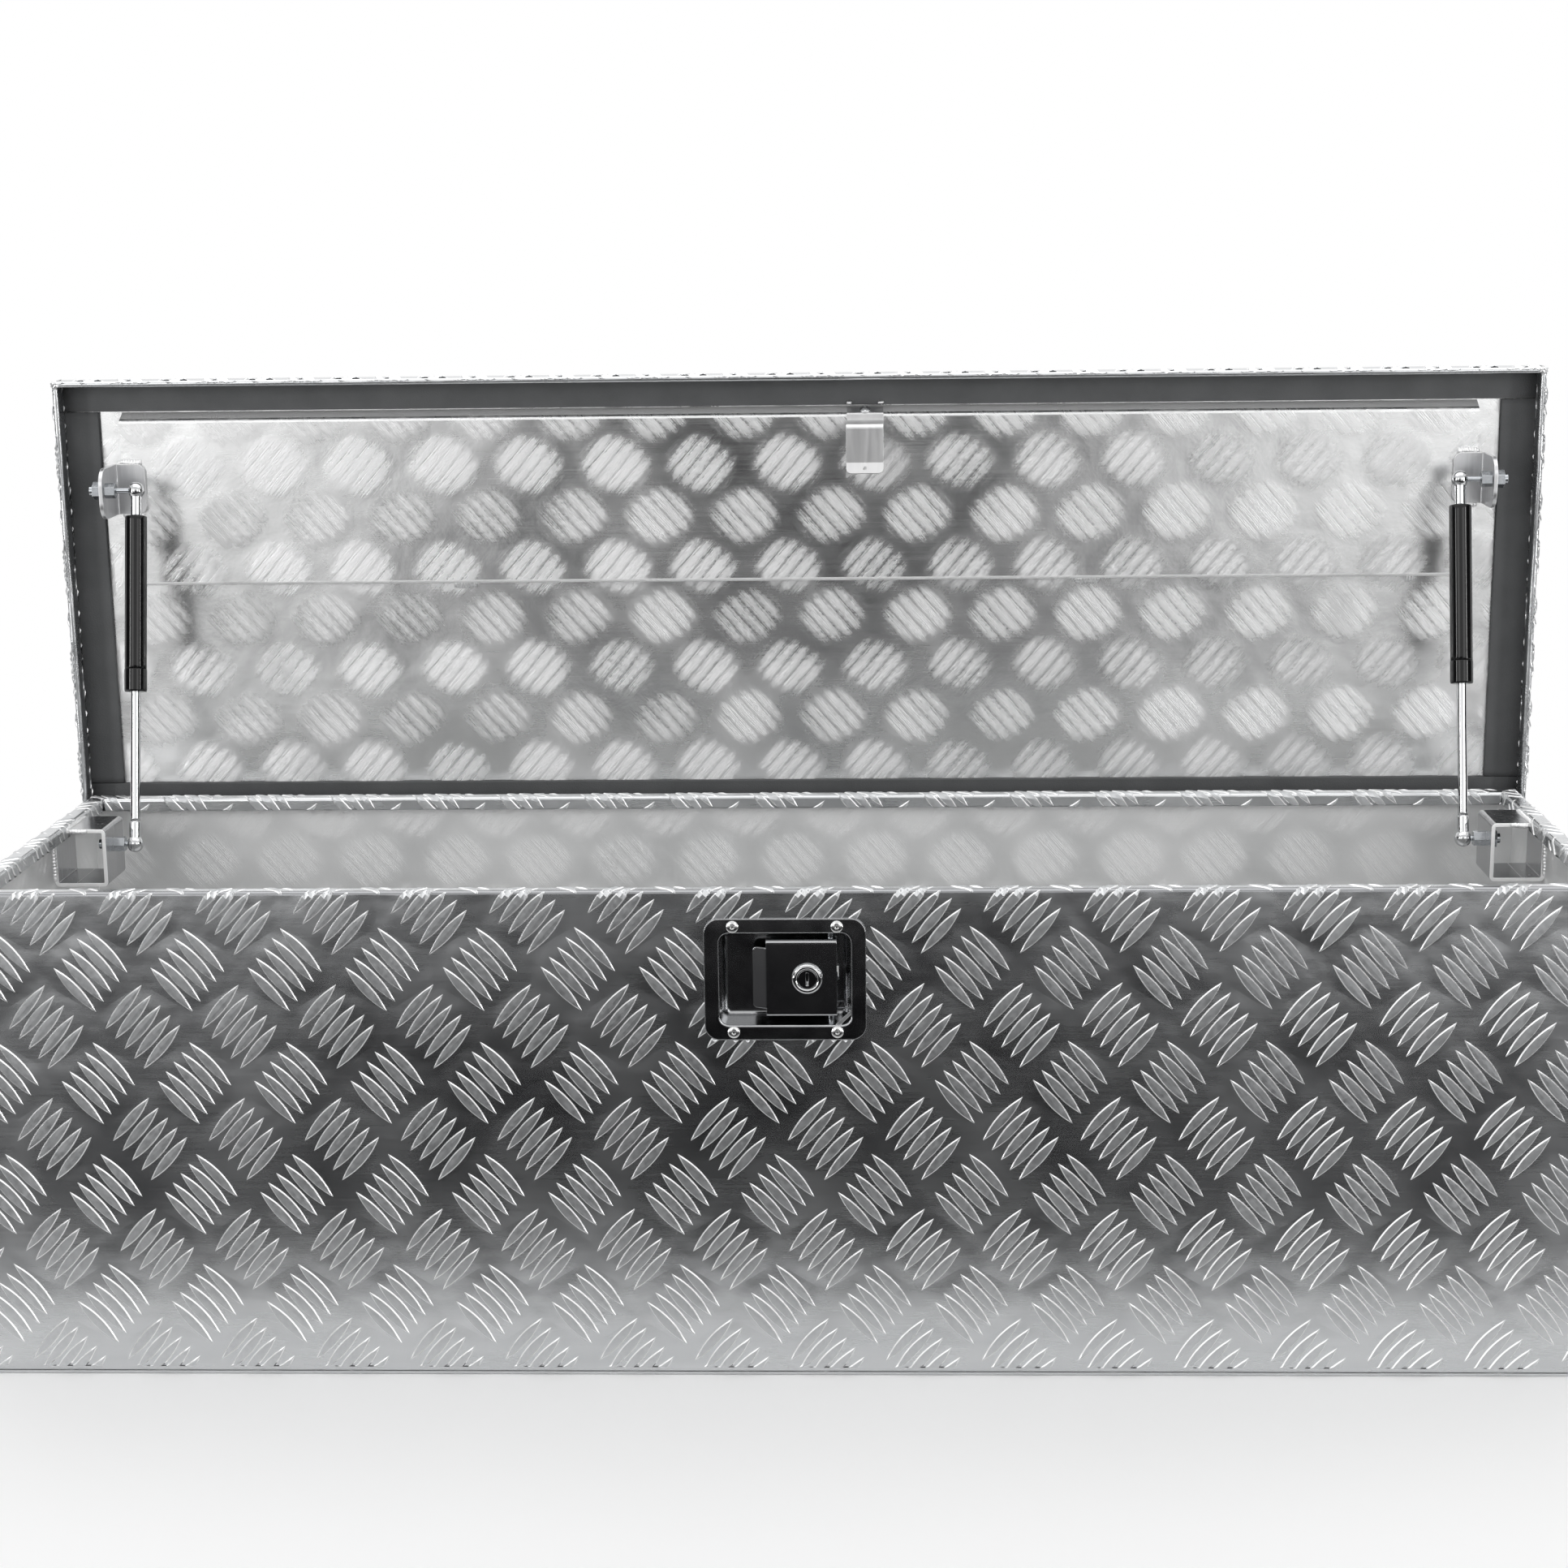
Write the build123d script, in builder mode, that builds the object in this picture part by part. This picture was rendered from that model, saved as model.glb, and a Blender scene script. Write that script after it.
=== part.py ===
from build123d import *
from math import cos, pi, radians, sin, tan
import os

os.makedirs("parts", exist_ok=True)

# Truck tool box folded from five-bar aluminium tread plate, shown with its lid open.
# Millimetres. The origin is the middle of the underside, +X runs to the right, +Y to the back and +Z up.
# Everything on the lid is drawn with the lid shut and then swung open about the hinge.

# Whole box
body_length = 1218.0
body_depth = 362.0
closed_height = 385.0
open_angle = 89.0
cut_over = 4.0
part_clearance = 0.3
running_clearance = 0.05

# Sheet and folded edges
sheet = 2.0
bend_radius = 3.0
rim_width = 14.0
rim_return = 11.0
floor_flange = 16.0
floor_inset = 1.0

# Lid pan
lid_clearance = 5.5
hem_gap = 1.0
hem_bend = 1.3
hem_length = 14.0
skirt_drop = 20.0
pan_strip = 20.0

# Foam seal
seal_thick = 5.0
seal_gap = 0.3
seal_side_width = 29.0
seal_front_width = 24.0

# Lid stiffener, behind the front seal
stiffener_end_inset = 41.0
stiffener_width = 145.5
stiffener_seal_gap = 0.8
stiffener_depth = 13.0
stiffener_slope = 6.0

# Piano hinge
leaf_thick = 1.2
leaf_width = 20.0
knuckle_radius = 2.5
hinge_pin_radius = 1.15
knuckle_count = 24
knuckle_gap = 0.5
knuckle_relief = 0.7
hinge_drop = 23.0
hinge_end_inset = 12.0

# Blind rivets
rivet_shank_radius = 2.4
rivet_head_radius = 4.6
rivet_head_height = 1.6
rivet_head_edge = 0.5
rivet_mandrel_radius = 1.3
rivet_mandrel_depth = 0.8
rivet_bulb_radius = 3.4
rivet_bulb_height = 3.0

# Gas struts
strut_inset = 63.0
lower_ball_reach = 101.8
lower_ball_drop = 21.0
upper_ball_set_back = 60.0
upper_ball_depth = 54.0
tube_radius = 9.0
tube_wall = 1.5
tube_length = 146.0
tube_plug_length = 5.0
tube_edge = 1.0
guide_length = 19.0
guide_spigot = 3.0
guide_lip = 0.25
rod_radius = 4.0
piston_radius = 7.4
piston_length = 8.0
piston_setback = 1.5
upper_neck_length = 21.5
lower_neck_length = 18.5
neck_radius = 4.8

# Ball joints
socket_radius = 7.0
socket_face = 5.4
socket_mouth_radius = 3.4
ball_radius = 4.0
stud_neck_radius = 2.2
stud_hex_flats = 11.0
stud_hex_length = 9.0
stud_thread_radius = 4.0
stud_thread_end = 3.0
nut_flats = 13.0
nut_length = 6.5

# Upper strut brackets, bent from flat bar
bracket_sheet = 3.0
bracket_bend = 4.0
upper_ear_offset = 29.0
upper_plate_width = 27.0
upper_plate_corner = 7.0
upper_bracket_height = 42.0
upper_bracket_shift = 3.0
upper_ear_reach = 50.0
upper_ear_round = 14.0

# Lower strut brackets, a channel closed by an angle on the end wall
lower_web_offset = 17.0
lower_bracket_length = 54.0
lower_bracket_bottom = 51.0
lower_bracket_top = 3.0
lower_seam_from_wall = 18.0
lower_angle_top = 13.5

# Paddle latch, placed by its middle
latch_x = 2.0
latch_drop = 67.0
latch_sheet = 1.5
latch_width = 119.0
latch_height = 92.0
latch_corner = 11.0
latch_rivet_dx = 38.2
latch_rivet_dz = 40.0
dish_width = 97.0
dish_height = 70.0
dish_corner = 7.5
dish_depth = 21.5
dish_taper = 8.0
dish_floor_fillet = 3.5
dish_rim_fillet = 1.4
dish_hole_clearance = 0.6

# Paddle and its shaft, placed from the middle of the latch and the front of its plate
paddle_set_back = 3.4
paddle_sheet = 2.0
paddle_right = 38.0
paddle_fold = -14.0
paddle_tip = -24.0
paddle_tip_angle = 24.0
paddle_height = 58.8
paddle_tab_height = 45.8
paddle_tab_corner = 3.0
paddle_flange = 13.0
paddle_bend = 3.0
paddle_pivot_x = 33.5
paddle_pivot_depth = 9.5
paddle_pin_radius = 2.5
paddle_pin_over = 1.2
lever_width = 7.0
lever_thick = 6.0
lever_reach = 20.0
lever_play = 0.35
lever_boss_radius = 5.0
lever_slot_left = 16.0
lever_slot_right = 5.5
lever_slot_height = 10.0

# Key lock in the paddle
lock_x = 16.2
lock_bezel_radius = 11.45
lock_bezel_height = 3.6
lock_crown_radius = 9.6
lock_lip_height = 2.0
lock_barrel_radius = 9.0
lock_barrel_length = 12.0
lock_plug_radius = 7.1
lock_recess = 1.0
keyway_width = 2.0
keyway_height = 9.5
keyway_depth = 6.0
cam_thick = 1.2
cam_width = 8.0
cam_reach = 15.0
cam_neck_radius = 3.5
cam_neck_length = 0.6

# Torsion spring on the paddle shaft
spring_wire_radius = 0.5
spring_coil_radius = 3.3
spring_pitch = 1.75
spring_turns = 4
spring_low = -25.0
spring_short_leg = 8.0

# Slam bolt and its case, placed from the middle of the latch
bolt_sheet = 3.0
bolt_left = 16.0
bolt_right = 44.0
bolt_bottom = -14.0
bolt_shoulder = 10.0
bolt_bar_right = 40.0
bolt_bar_height = 6.0
bolt_gap = 0.8
bolt_bar_depth = 53.0
tongue_length = 18.0
tongue_reach = 11.3
tongue_bevel = 4.0
notch_height = 8.0
case_left = -10.0
case_right = 38.5
case_foot = 12.0
case_bend = 1.75

# Striker on the lid
striker_sheet = 2.0
striker_left = 44.5
striker_width = 30.5
striker_riser_set_back = 11.5
striker_plate_depth = 60.0
striker_plate_length = 30.4
striker_lip = 9.0
striker_lip_angle = 18.0
striker_bend = 2.5
striker_foot_start = 5.6
striker_corner = 4.0
striker_dimple_radius = 1.6
striker_screw_radius = 2.0
striker_head_radius = 5.0
striker_head_height = 2.6
striker_screw_below = 9.3
striker_screw_end = 1.0

# Places worked out from the sizes above
half_sheet = sheet / 2
mid_bend = bend_radius - half_sheet
rim_height = closed_height - sheet - seal_thick - seal_gap
front_y = -body_depth / 2
back_y = body_depth / 2
wall_inner_x = body_length / 2 - sheet
lid_inner_z = rim_height + seal_gap + seal_thick
hem_stack = 2 * sheet + hem_gap
lid_length = body_length + 2 * (lid_clearance + hem_stack)
lid_front_y = front_y - lid_clearance - hem_stack
lid_back_y = back_y + part_clearance + leaf_thick + hem_stack
lid_depth = lid_back_y - lid_front_y
lid_mid_y = (lid_front_y + lid_back_y) / 2
skirt_low_z = rim_height - skirt_drop
hinge_y = back_y + part_clearance + knuckle_radius
hinge_z = rim_height - hinge_drop
hinge_line = Axis((0, hinge_y, hinge_z), (1, 0, 0))
hinge_length = body_length - 2 * hinge_end_inset
hinge_bore = hinge_pin_radius + running_clearance
latch_z = rim_height - latch_drop
latch_front_y = front_y - latch_sheet
dish_floor_y = latch_front_y + dish_depth
dish_back_y = dish_floor_y + latch_sheet
pivot_x = latch_x + paddle_pivot_x
pivot_y = latch_front_y + paddle_pivot_depth
paddle_face_y = latch_front_y + paddle_set_back
paddle_back_y = paddle_face_y + paddle_sheet
stiffener_length = body_length - 2 * stiffener_end_inset
stiffener_front = hinge_y - lid_front_y - bend_radius - seal_front_width - stiffener_seal_gap
stiffener_rear = stiffener_front - stiffener_width
striker_riser_reach = stiffener_front - striker_riser_set_back
strut_x = body_length / 2 - strut_inset
lower_ball_y = hinge_y - lower_ball_reach
lower_ball_z = rim_height - lower_ball_drop
shut_ball_y = hinge_y - stiffener_front + upper_ball_set_back
shut_ball_z = lid_inner_z - upper_ball_depth
bar_bottom = lid_inner_z - striker_plate_depth + striker_sheet + part_clearance - latch_z
bar_top = bar_bottom + bolt_bar_height


def keep(solid, name):
    """Label one finished piece and write it."""
    solid.label = name
    export_step(solid, f"parts/{name}.step")


def swung(y, z, angle):
    """Where a point of the shut lid goes when the lid turns by this angle about the hinge."""
    turn = radians(angle)
    dy, dz = y - hinge_y, z - hinge_z
    return hinge_y + dy * cos(turn) - dz * sin(turn), hinge_z + dy * sin(turn) + dz * cos(turn)


def opened(solid):
    """A lid piece, drawn shut, swung to the open rest position."""
    return solid.rotate(hinge_line, -open_angle)


def under_lid(reach, depth):
    """A point under the shut lid, from its distance to the hinge axis and its depth below the skin."""
    return hinge_y - reach, lid_inner_z - depth


def folded_side(outer_middle, inward, run, path, thickness, bend):
    """One side of a folded pan: a bent strip drawn across the side, run along it and mitred at both ends."""
    across = Plane(origin=outer_middle, x_dir=inward, z_dir=Vector(*inward).cross(Vector(0, 0, 1)))
    with BuildPart() as strip:
        with BuildSketch(across):
            with BuildLine():
                FilletPolyline(*path, radius=bend)
            trace(line_width=thickness)
        extrude(amount=run / 2, both=True)
        for end in (-1, 1):
            corner = Vector(*outer_middle) + across.z_dir * (end * run / 2)
            mitre = across.x_dir + across.z_dir * end
            split(bisect_by=Plane(origin=corner, z_dir=mitre), keep=Keep.BOTTOM)
    return strip.part


def turned(place, outward, outline):
    """A turned piece: an outline of radius and height, revolved about the outward axis at its place."""
    with BuildPart() as piece:
        section = Plane(origin=place, x_dir=(1, 0, 0), z_dir=Vector(1, 0, 0).cross(Vector(*outward)))
        with BuildSketch(section):
            with BuildLine():
                Polyline(*outline, close=True)
            make_face()
        revolve(axis=Axis(place, outward))
    return piece.part


def blind_rivet(place, outward, stack):
    """A blind rivet: coned head with its mandrel hole, a shank through the stack and the upset end."""
    outline = [
        (0, rivet_head_height - rivet_mandrel_depth),
        (0, -stack - rivet_bulb_height),
        (rivet_bulb_radius, -stack - rivet_bulb_height),
        (rivet_bulb_radius, -stack),
        (rivet_shank_radius, -stack),
        (rivet_shank_radius, 0),
        (rivet_head_radius, 0),
        (rivet_head_radius, rivet_head_edge),
        (rivet_mandrel_radius, rivet_head_height),
        (rivet_mandrel_radius, rivet_head_height - rivet_mandrel_depth),
    ]
    return turned(place, outward, outline)


def hexagon_radius(flats):
    """Corner radius of a hexagon from its size across the flats."""
    return flats / 2 / cos(radians(30))


# Box walls: each stands on the floor sheet, folds in at the rim and returns down
wall_path = [
    (floor_flange, sheet + half_sheet),
    (half_sheet, sheet + half_sheet),
    (half_sheet, rim_height - half_sheet),
    (rim_width - half_sheet, rim_height - half_sheet),
    (rim_width - half_sheet, rim_height - rim_return),
]
latch_plane = Plane(origin=(latch_x, front_y, latch_z), x_dir=(1, 0, 0), z_dir=(0, -1, 0))

with BuildPart() as front_panel:
    add(folded_side((0, front_y, 0), (0, 1, 0), body_length, wall_path, sheet, mid_bend))
    with BuildSketch(latch_plane):
        RectangleRounded(
            dish_width + 2 * (latch_sheet + dish_hole_clearance),
            dish_height + 2 * (latch_sheet + dish_hole_clearance),
            dish_corner + latch_sheet + dish_hole_clearance,
        )
        with GridLocations(2 * latch_rivet_dx, 2 * latch_rivet_dz, 2, 2):
            Circle(rivet_shank_radius)
    extrude(amount=-sheet, mode=Mode.SUBTRACT)
keep(front_panel.part, "front_panel")

with BuildPart() as back_panel:
    add(folded_side((0, back_y, 0), (0, -1, 0), body_length, wall_path, sheet, mid_bend))
keep(back_panel.part, "back_panel")

for side, name in ((-1, "left"), (1, "right")):
    end_middle = (side * body_length / 2, 0, 0)
    with BuildPart() as end_panel:
        add(folded_side(end_middle, (-side, 0, 0), body_depth, wall_path, sheet, mid_bend))
    keep(end_panel.part, f"{name}_end_panel")

with BuildPart() as floor_panel:
    with BuildSketch():
        RectangleRounded(body_length - 2 * floor_inset, body_depth - 2 * floor_inset, bend_radius)
    extrude(amount=sheet)
keep(floor_panel.part, "floor_panel")

# Lid pan: top sheet, four skirts and a hem folded up inside each skirt
skirt_path = [
    (pan_strip, closed_height - half_sheet),
    (half_sheet, closed_height - half_sheet),
    (half_sheet, skirt_low_z + half_sheet),
    (half_sheet + sheet + hem_gap, skirt_low_z + half_sheet),
    (half_sheet + sheet + hem_gap, skirt_low_z + hem_length),
]
skirt_bends = (mid_bend, hem_bend, hem_bend)
lid_sides = (
    ((0, lid_front_y, 0), (0, 1, 0), lid_length),
    ((0, lid_back_y, 0), (0, -1, 0), lid_length),
    ((-lid_length / 2, lid_mid_y, 0), (1, 0, 0), lid_depth),
    ((lid_length / 2, lid_mid_y, 0), (-1, 0, 0), lid_depth),
)
lid_strips = [folded_side(mid, inward, run, skirt_path, sheet, skirt_bends) for mid, inward, run in lid_sides]

with BuildPart() as lid_skin:
    with BuildSketch(Plane((0, lid_mid_y, lid_inner_z))):
        Rectangle(lid_length - 2 * pan_strip, lid_depth - 2 * pan_strip)
    extrude(amount=sheet)
    add(lid_strips)
keep(opened(lid_skin.part), "lid_skin")

# Foam seal strips under the lid: front and rear run full width, the side strips butt between them
seal_edge = bend_radius
seal_half_length = lid_length / 2 - seal_edge
front_seal_y = lid_front_y + seal_edge
rear_seal_y = lid_back_y - seal_edge
seal_low_z = rim_height + seal_gap


def seal_strip(x_low, x_high, y_low, y_high, name):
    """One strip of foam tape stuck to the underside of the lid."""
    with BuildPart() as strip:
        with BuildSketch(Plane(((x_low + x_high) / 2, (y_low + y_high) / 2, seal_low_z))):
            Rectangle(x_high - x_low, y_high - y_low)
        extrude(amount=seal_thick)
    keep(opened(strip.part), name)


seal_strip(-seal_half_length, seal_half_length, front_seal_y, front_seal_y + seal_front_width, "front_seal")
seal_strip(-seal_half_length, seal_half_length, rear_seal_y - seal_side_width, rear_seal_y, "rear_seal")
for low, high, name in (
    (-seal_half_length, -seal_half_length + seal_side_width, "left_seal"),
    (seal_half_length - seal_side_width, seal_half_length, "right_seal"),
):
    seal_strip(low, high, front_seal_y + seal_front_width, rear_seal_y - seal_side_width, name)

# Stiffener: a shallow channel of the same plate, its front leg slanted
leg_foot = stiffener_front - half_sheet
leg_head = leg_foot - stiffener_slope
web_depth = stiffener_depth - half_sheet
leg_run_out = stiffener_slope * cut_over / web_depth
stiffener_path = [
    under_lid(stiffener_rear + half_sheet, -cut_over),
    under_lid(stiffener_rear + half_sheet, web_depth),
    under_lid(leg_head, web_depth),
    under_lid(leg_foot + leg_run_out, -cut_over),
]
leg_length = (stiffener_slope**2 + web_depth**2) ** 0.5
leg_normal_reach = web_depth / leg_length
leg_normal_depth = stiffener_slope / leg_length
screw_head_reach = leg_head + stiffener_slope * (web_depth - striker_screw_below) / web_depth
leg_outward = Vector(0, -leg_normal_reach, -leg_normal_depth)
striker_middle = striker_left + striker_width / 2
leg_point = Vector(striker_middle, *under_lid(screw_head_reach, striker_screw_below))
screw_plane = Plane(origin=leg_point, x_dir=(1, 0, 0), z_dir=leg_outward)

with BuildPart() as lid_stiffener:
    with BuildSketch(Plane.YZ.offset(-stiffener_length / 2)):
        with BuildLine():
            FilletPolyline(*stiffener_path, radius=mid_bend)
        trace(line_width=sheet)
    extrude(amount=stiffener_length)
    split(bisect_by=Plane((0, 0, lid_inner_z)), keep=Keep.BOTTOM)
    with BuildSketch(screw_plane):
        Circle(striker_screw_radius)
    extrude(amount=sheet, both=True, mode=Mode.SUBTRACT)
keep(opened(lid_stiffener.part), "lid_stiffener")

# Striker: foot on the slanted leg, riser, plate and a lip that leads the bolt
foot_offset = half_sheet + striker_sheet / 2
foot_depth_offset = foot_offset * leg_normal_depth
foot_reach_offset = foot_offset * leg_normal_reach


def foot_reach(depth):
    """Distance of the striker foot's middle from the hinge at this depth, along the slanted leg."""
    above_web = web_depth + foot_depth_offset - depth
    return leg_head + foot_reach_offset + above_web * stiffener_slope / web_depth


knee_depth = stiffener_depth + striker_sheet / 2
plate_mid_depth = striker_plate_depth - striker_sheet / 2
lip_turn = radians(striker_lip_angle)
plate_end = striker_riser_reach - striker_plate_length
striker_path = [
    under_lid(foot_reach(striker_foot_start), striker_foot_start),
    under_lid(foot_reach(knee_depth), knee_depth),
    under_lid(striker_riser_reach, knee_depth),
    under_lid(striker_riser_reach, plate_mid_depth),
    under_lid(plate_end, plate_mid_depth),
    under_lid(plate_end - striker_lip * cos(lip_turn), plate_mid_depth + striker_lip * sin(lip_turn)),
]
knee_bend = striker_sheet / 2
striker_bends = (knee_bend, knee_bend, striker_bend, striker_bend)
dimple_place = (striker_middle, under_lid(plate_end - striker_lip / 2, 0)[0], 0)

with BuildPart() as striker:
    with BuildSketch(Plane.YZ.offset(striker_left)):
        with BuildLine():
            FilletPolyline(*striker_path, radius=striker_bends)
        trace(line_width=striker_sheet)
    extrude(amount=striker_width)
    lip_end = striker.edges().filter_by(Axis.X, reverse=True).group_by(Axis.Y)[-1].filter_by(GeomType.LINE)
    fillet(lip_end, striker_corner)
    with BuildSketch(Plane(dimple_place)):
        Circle(striker_dimple_radius)
    extrude(amount=lid_inner_z - stiffener_depth, mode=Mode.SUBTRACT)
    with BuildSketch(screw_plane):
        Circle(striker_screw_radius)
    extrude(amount=foot_offset + striker_sheet, mode=Mode.SUBTRACT)
keep(opened(striker.part), "striker")

head_seat = half_sheet + striker_sheet
screw_inner = half_sheet + striker_screw_end
dome_steps = 5
dome = [
    (
        striker_head_radius * cos(radians(90 * step / dome_steps)),
        head_seat + striker_head_height * sin(radians(90 * step / dome_steps)),
    )
    for step in range(dome_steps + 1)
]
screw_shank = [(0, -screw_inner), (striker_screw_radius, -screw_inner), (striker_screw_radius, head_seat)]
with BuildPart() as striker_screw:
    add(turned(leg_point, leg_outward, screw_shank + dome))
    with BuildSketch(screw_plane.offset(head_seat + striker_head_height)):
        RegularPolygon(striker_screw_radius / 2, 6)
    extrude(amount=-striker_head_height / 2, mode=Mode.SUBTRACT)
keep(opened(striker_screw.part), "striker_screw")

# Piano hinge: two leaves with interleaved knuckles on one pin
knuckle_pitch = hinge_length / knuckle_count
relief = knuckle_radius + knuckle_relief


def hinge_leaf(near_y, side, first):
    """One leaf above or below the axis, with every second knuckle rolled from it."""
    with BuildPart() as leaf:
        with BuildSketch(Plane.YZ.offset(-hinge_length / 2)):
            with Locations((near_y + leaf_thick / 2, hinge_z + side * (relief + leaf_width) / 2)):
                Rectangle(leaf_thick, leaf_width - relief)
        extrude(amount=hinge_length)
        for knuckle in range(first, knuckle_count, 2):
            start = -hinge_length / 2 + knuckle * knuckle_pitch + knuckle_gap / 2
            with BuildSketch(Plane.YZ.offset(start)):
                with Locations((hinge_y, hinge_z)):
                    Circle(knuckle_radius)
                with Locations((near_y + leaf_thick / 2, hinge_z + side * relief / 2)):
                    Rectangle(leaf_thick, relief)
                with Locations((hinge_y, hinge_z)):
                    Circle(hinge_bore, mode=Mode.SUBTRACT)
            extrude(amount=knuckle_pitch - knuckle_gap)
    return leaf.part


keep(hinge_leaf(back_y, -1, 0), "hinge_box_leaf")
keep(opened(hinge_leaf(back_y + part_clearance, 1, 1)), "hinge_lid_leaf")

with BuildPart() as hinge_pin:
    with BuildSketch(Plane.YZ.offset(-hinge_length / 2)):
        with Locations((hinge_y, hinge_z)):
            Circle(hinge_pin_radius)
    extrude(amount=hinge_length)
keep(hinge_pin.part, "hinge_pin")

# Gas struts: each lies in its own plane, from the ball on the lid to the ball on the box
upper_ball_y, upper_ball_z = swung(shut_ball_y, shut_ball_z, -open_angle)
strut_vector = Vector(0, lower_ball_y - upper_ball_y, lower_ball_z - upper_ball_z)
strut_open = strut_vector.length
strut_shut = Vector(0, lower_ball_y - shut_ball_y, lower_ball_z - shut_ball_z).length
strut_stroke = strut_open - strut_shut
tube_start = upper_neck_length
guide_start = tube_start + tube_length - guide_length
piston_end = guide_start - guide_spigot - piston_setback
rod_end = strut_open - lower_neck_length
print(f"strut {strut_open:.3f} open, {strut_shut:.3f} shut, stroke {strut_stroke:.3f}")
print(f"upper ball at {upper_ball_y:.3f}, {upper_ball_z:.3f}; shut at {shut_ball_y:.3f}, {shut_ball_z:.3f}")


def turned_away(place, side):
    """Where a ball sits, with the seam of its surface on the side away from its bracket."""
    return Plane(origin=place, x_dir=(-side, 0, 0), z_dir=(0, 0, 1))


def ball_socket(along, side, neck_length):
    """A round end fitting: a hollow ball with its mouth towards the bracket and a neck along the strut."""
    mouth = Plane(origin=along.origin, x_dir=(0, 1, 0), z_dir=(side, 0, 0))
    with BuildPart() as seat:
        with Locations(turned_away(along.origin, side)):
            Sphere(ball_radius + running_clearance)
        with BuildSketch(mouth):
            Circle(socket_mouth_radius)
        extrude(amount=socket_radius)
    with BuildPart() as fitting:
        with BuildSketch(along):
            Circle(neck_radius)
        extrude(amount=neck_length)
        with Locations(turned_away(along.origin, side)):
            Sphere(socket_radius)
        split(bisect_by=mouth.offset(socket_face), keep=Keep.BOTTOM)
        add(seat.part, mode=Mode.SUBTRACT)
    return fitting.part


def ball_stud(place, side, neck_start, web, ball):
    """A stud through the bracket web: ball or plain neck end, hexagon against the web, thread beyond it."""
    hex_start = web - stud_hex_length
    along = Plane(origin=(0, place.Y, place.Z), x_dir=(0, 1, 0), z_dir=(side, 0, 0))
    thread_stop = web + bracket_sheet + nut_length + stud_thread_end
    with BuildPart() as stud:
        with BuildSketch(along.offset(neck_start)):
            Circle(stud_neck_radius)
        extrude(amount=hex_start - neck_start)
        with BuildSketch(along.offset(hex_start)):
            RegularPolygon(hexagon_radius(stud_hex_flats), 6)
        extrude(amount=stud_hex_length)
        with BuildSketch(along.offset(web)):
            Circle(stud_thread_radius)
        extrude(amount=thread_stop - web)
        if ball:
            with Locations(turned_away(place, side)):
                Sphere(ball_radius)
    return stud.part


def nut(place, side, web):
    """A hexagon nut run up against the far face of the bracket web."""
    along = Plane(origin=(0, place.Y, place.Z), x_dir=(0, 1, 0), z_dir=(side, 0, 0))
    with BuildPart() as hexagon:
        with BuildSketch(along.offset(web + bracket_sheet)):
            RegularPolygon(hexagon_radius(nut_flats), 6)
            Circle(stud_thread_radius, mode=Mode.SUBTRACT)
        extrude(amount=nut_length)
    return hexagon.part


ear_web = strut_x + upper_ear_offset - bracket_sheet
lower_web = strut_x + lower_web_offset
upper_nuts, lower_nuts = [], []

for side, name in ((-1, "left"), (1, "right")):
    upper_ball = Vector(side * strut_x, upper_ball_y, upper_ball_z)
    lower_ball = Vector(side * strut_x, lower_ball_y, lower_ball_z)
    shut_ball = Vector(side * strut_x, shut_ball_y, shut_ball_z)
    along = Plane(origin=upper_ball, x_dir=(1, 0, 0), z_dir=strut_vector)
    back_along = Plane(origin=lower_ball, x_dir=(1, 0, 0), z_dir=-strut_vector)

    with BuildPart() as strut_tube:
        with BuildSketch(along.offset(tube_start)):
            Circle(tube_radius)
        extrude(amount=guide_start - tube_start)
        chamfer(strut_tube.edges().filter_by(GeomType.CIRCLE).sort_by_distance(upper_ball)[0], tube_edge)
        with BuildSketch(along.offset(tube_start + tube_plug_length)):
            Circle(tube_radius - tube_wall)
        extrude(amount=guide_start - tube_start - tube_plug_length, mode=Mode.SUBTRACT)
    keep(strut_tube.part, f"{name}_strut_tube")

    with BuildPart() as strut_guide:
        with BuildSketch(along.offset(guide_start - guide_spigot)):
            Circle(tube_radius - tube_wall)
        extrude(amount=guide_spigot)
        with BuildSketch(along.offset(guide_start)):
            Circle(tube_radius + guide_lip)
        extrude(amount=guide_length)
        chamfer(strut_guide.edges().filter_by(GeomType.CIRCLE).sort_by_distance(lower_ball)[0], tube_edge)
        with BuildSketch(along.offset(guide_start - guide_spigot)):
            Circle(rod_radius + running_clearance)
        extrude(amount=guide_length + guide_spigot, mode=Mode.SUBTRACT)
    keep(strut_guide.part, f"{name}_strut_guide")

    with BuildPart() as strut_rod:
        with BuildSketch(along.offset(piston_end)):
            Circle(rod_radius)
        extrude(amount=rod_end - piston_end)
    keep(strut_rod.part, f"{name}_strut_rod")

    with BuildPart() as strut_piston:
        with BuildSketch(along.offset(piston_end - piston_length)):
            Circle(piston_radius)
        extrude(amount=piston_length)
    keep(strut_piston.part, f"{name}_strut_piston")

    keep(ball_socket(along, side, upper_neck_length), f"{name}_upper_socket")
    keep(ball_socket(back_along, side, lower_neck_length), f"{name}_lower_socket")
    with BuildPart() as lower_ball_piece:
        with Locations(turned_away(lower_ball, side)):
            Sphere(ball_radius)
    keep(lower_ball_piece.part, f"{name}_lower_ball")

    keep(opened(ball_stud(shut_ball, side, strut_x, ear_web, True)), f"{name}_upper_stud")
    neck_start = strut_x + socket_face + part_clearance
    keep(ball_stud(lower_ball, side, neck_start, lower_web, False), f"{name}_lower_stud")
    upper_nuts.append(nut(shut_ball, side, ear_web))
    lower_nuts.append(nut(lower_ball, side, lower_web))

with BuildPart() as upper_stud_nuts:
    add(upper_nuts)
keep(opened(upper_stud_nuts.part), "upper_stud_nuts")

with BuildPart() as lower_stud_nuts:
    add(lower_nuts)
keep(lower_stud_nuts.part, "lower_stud_nuts")

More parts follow.
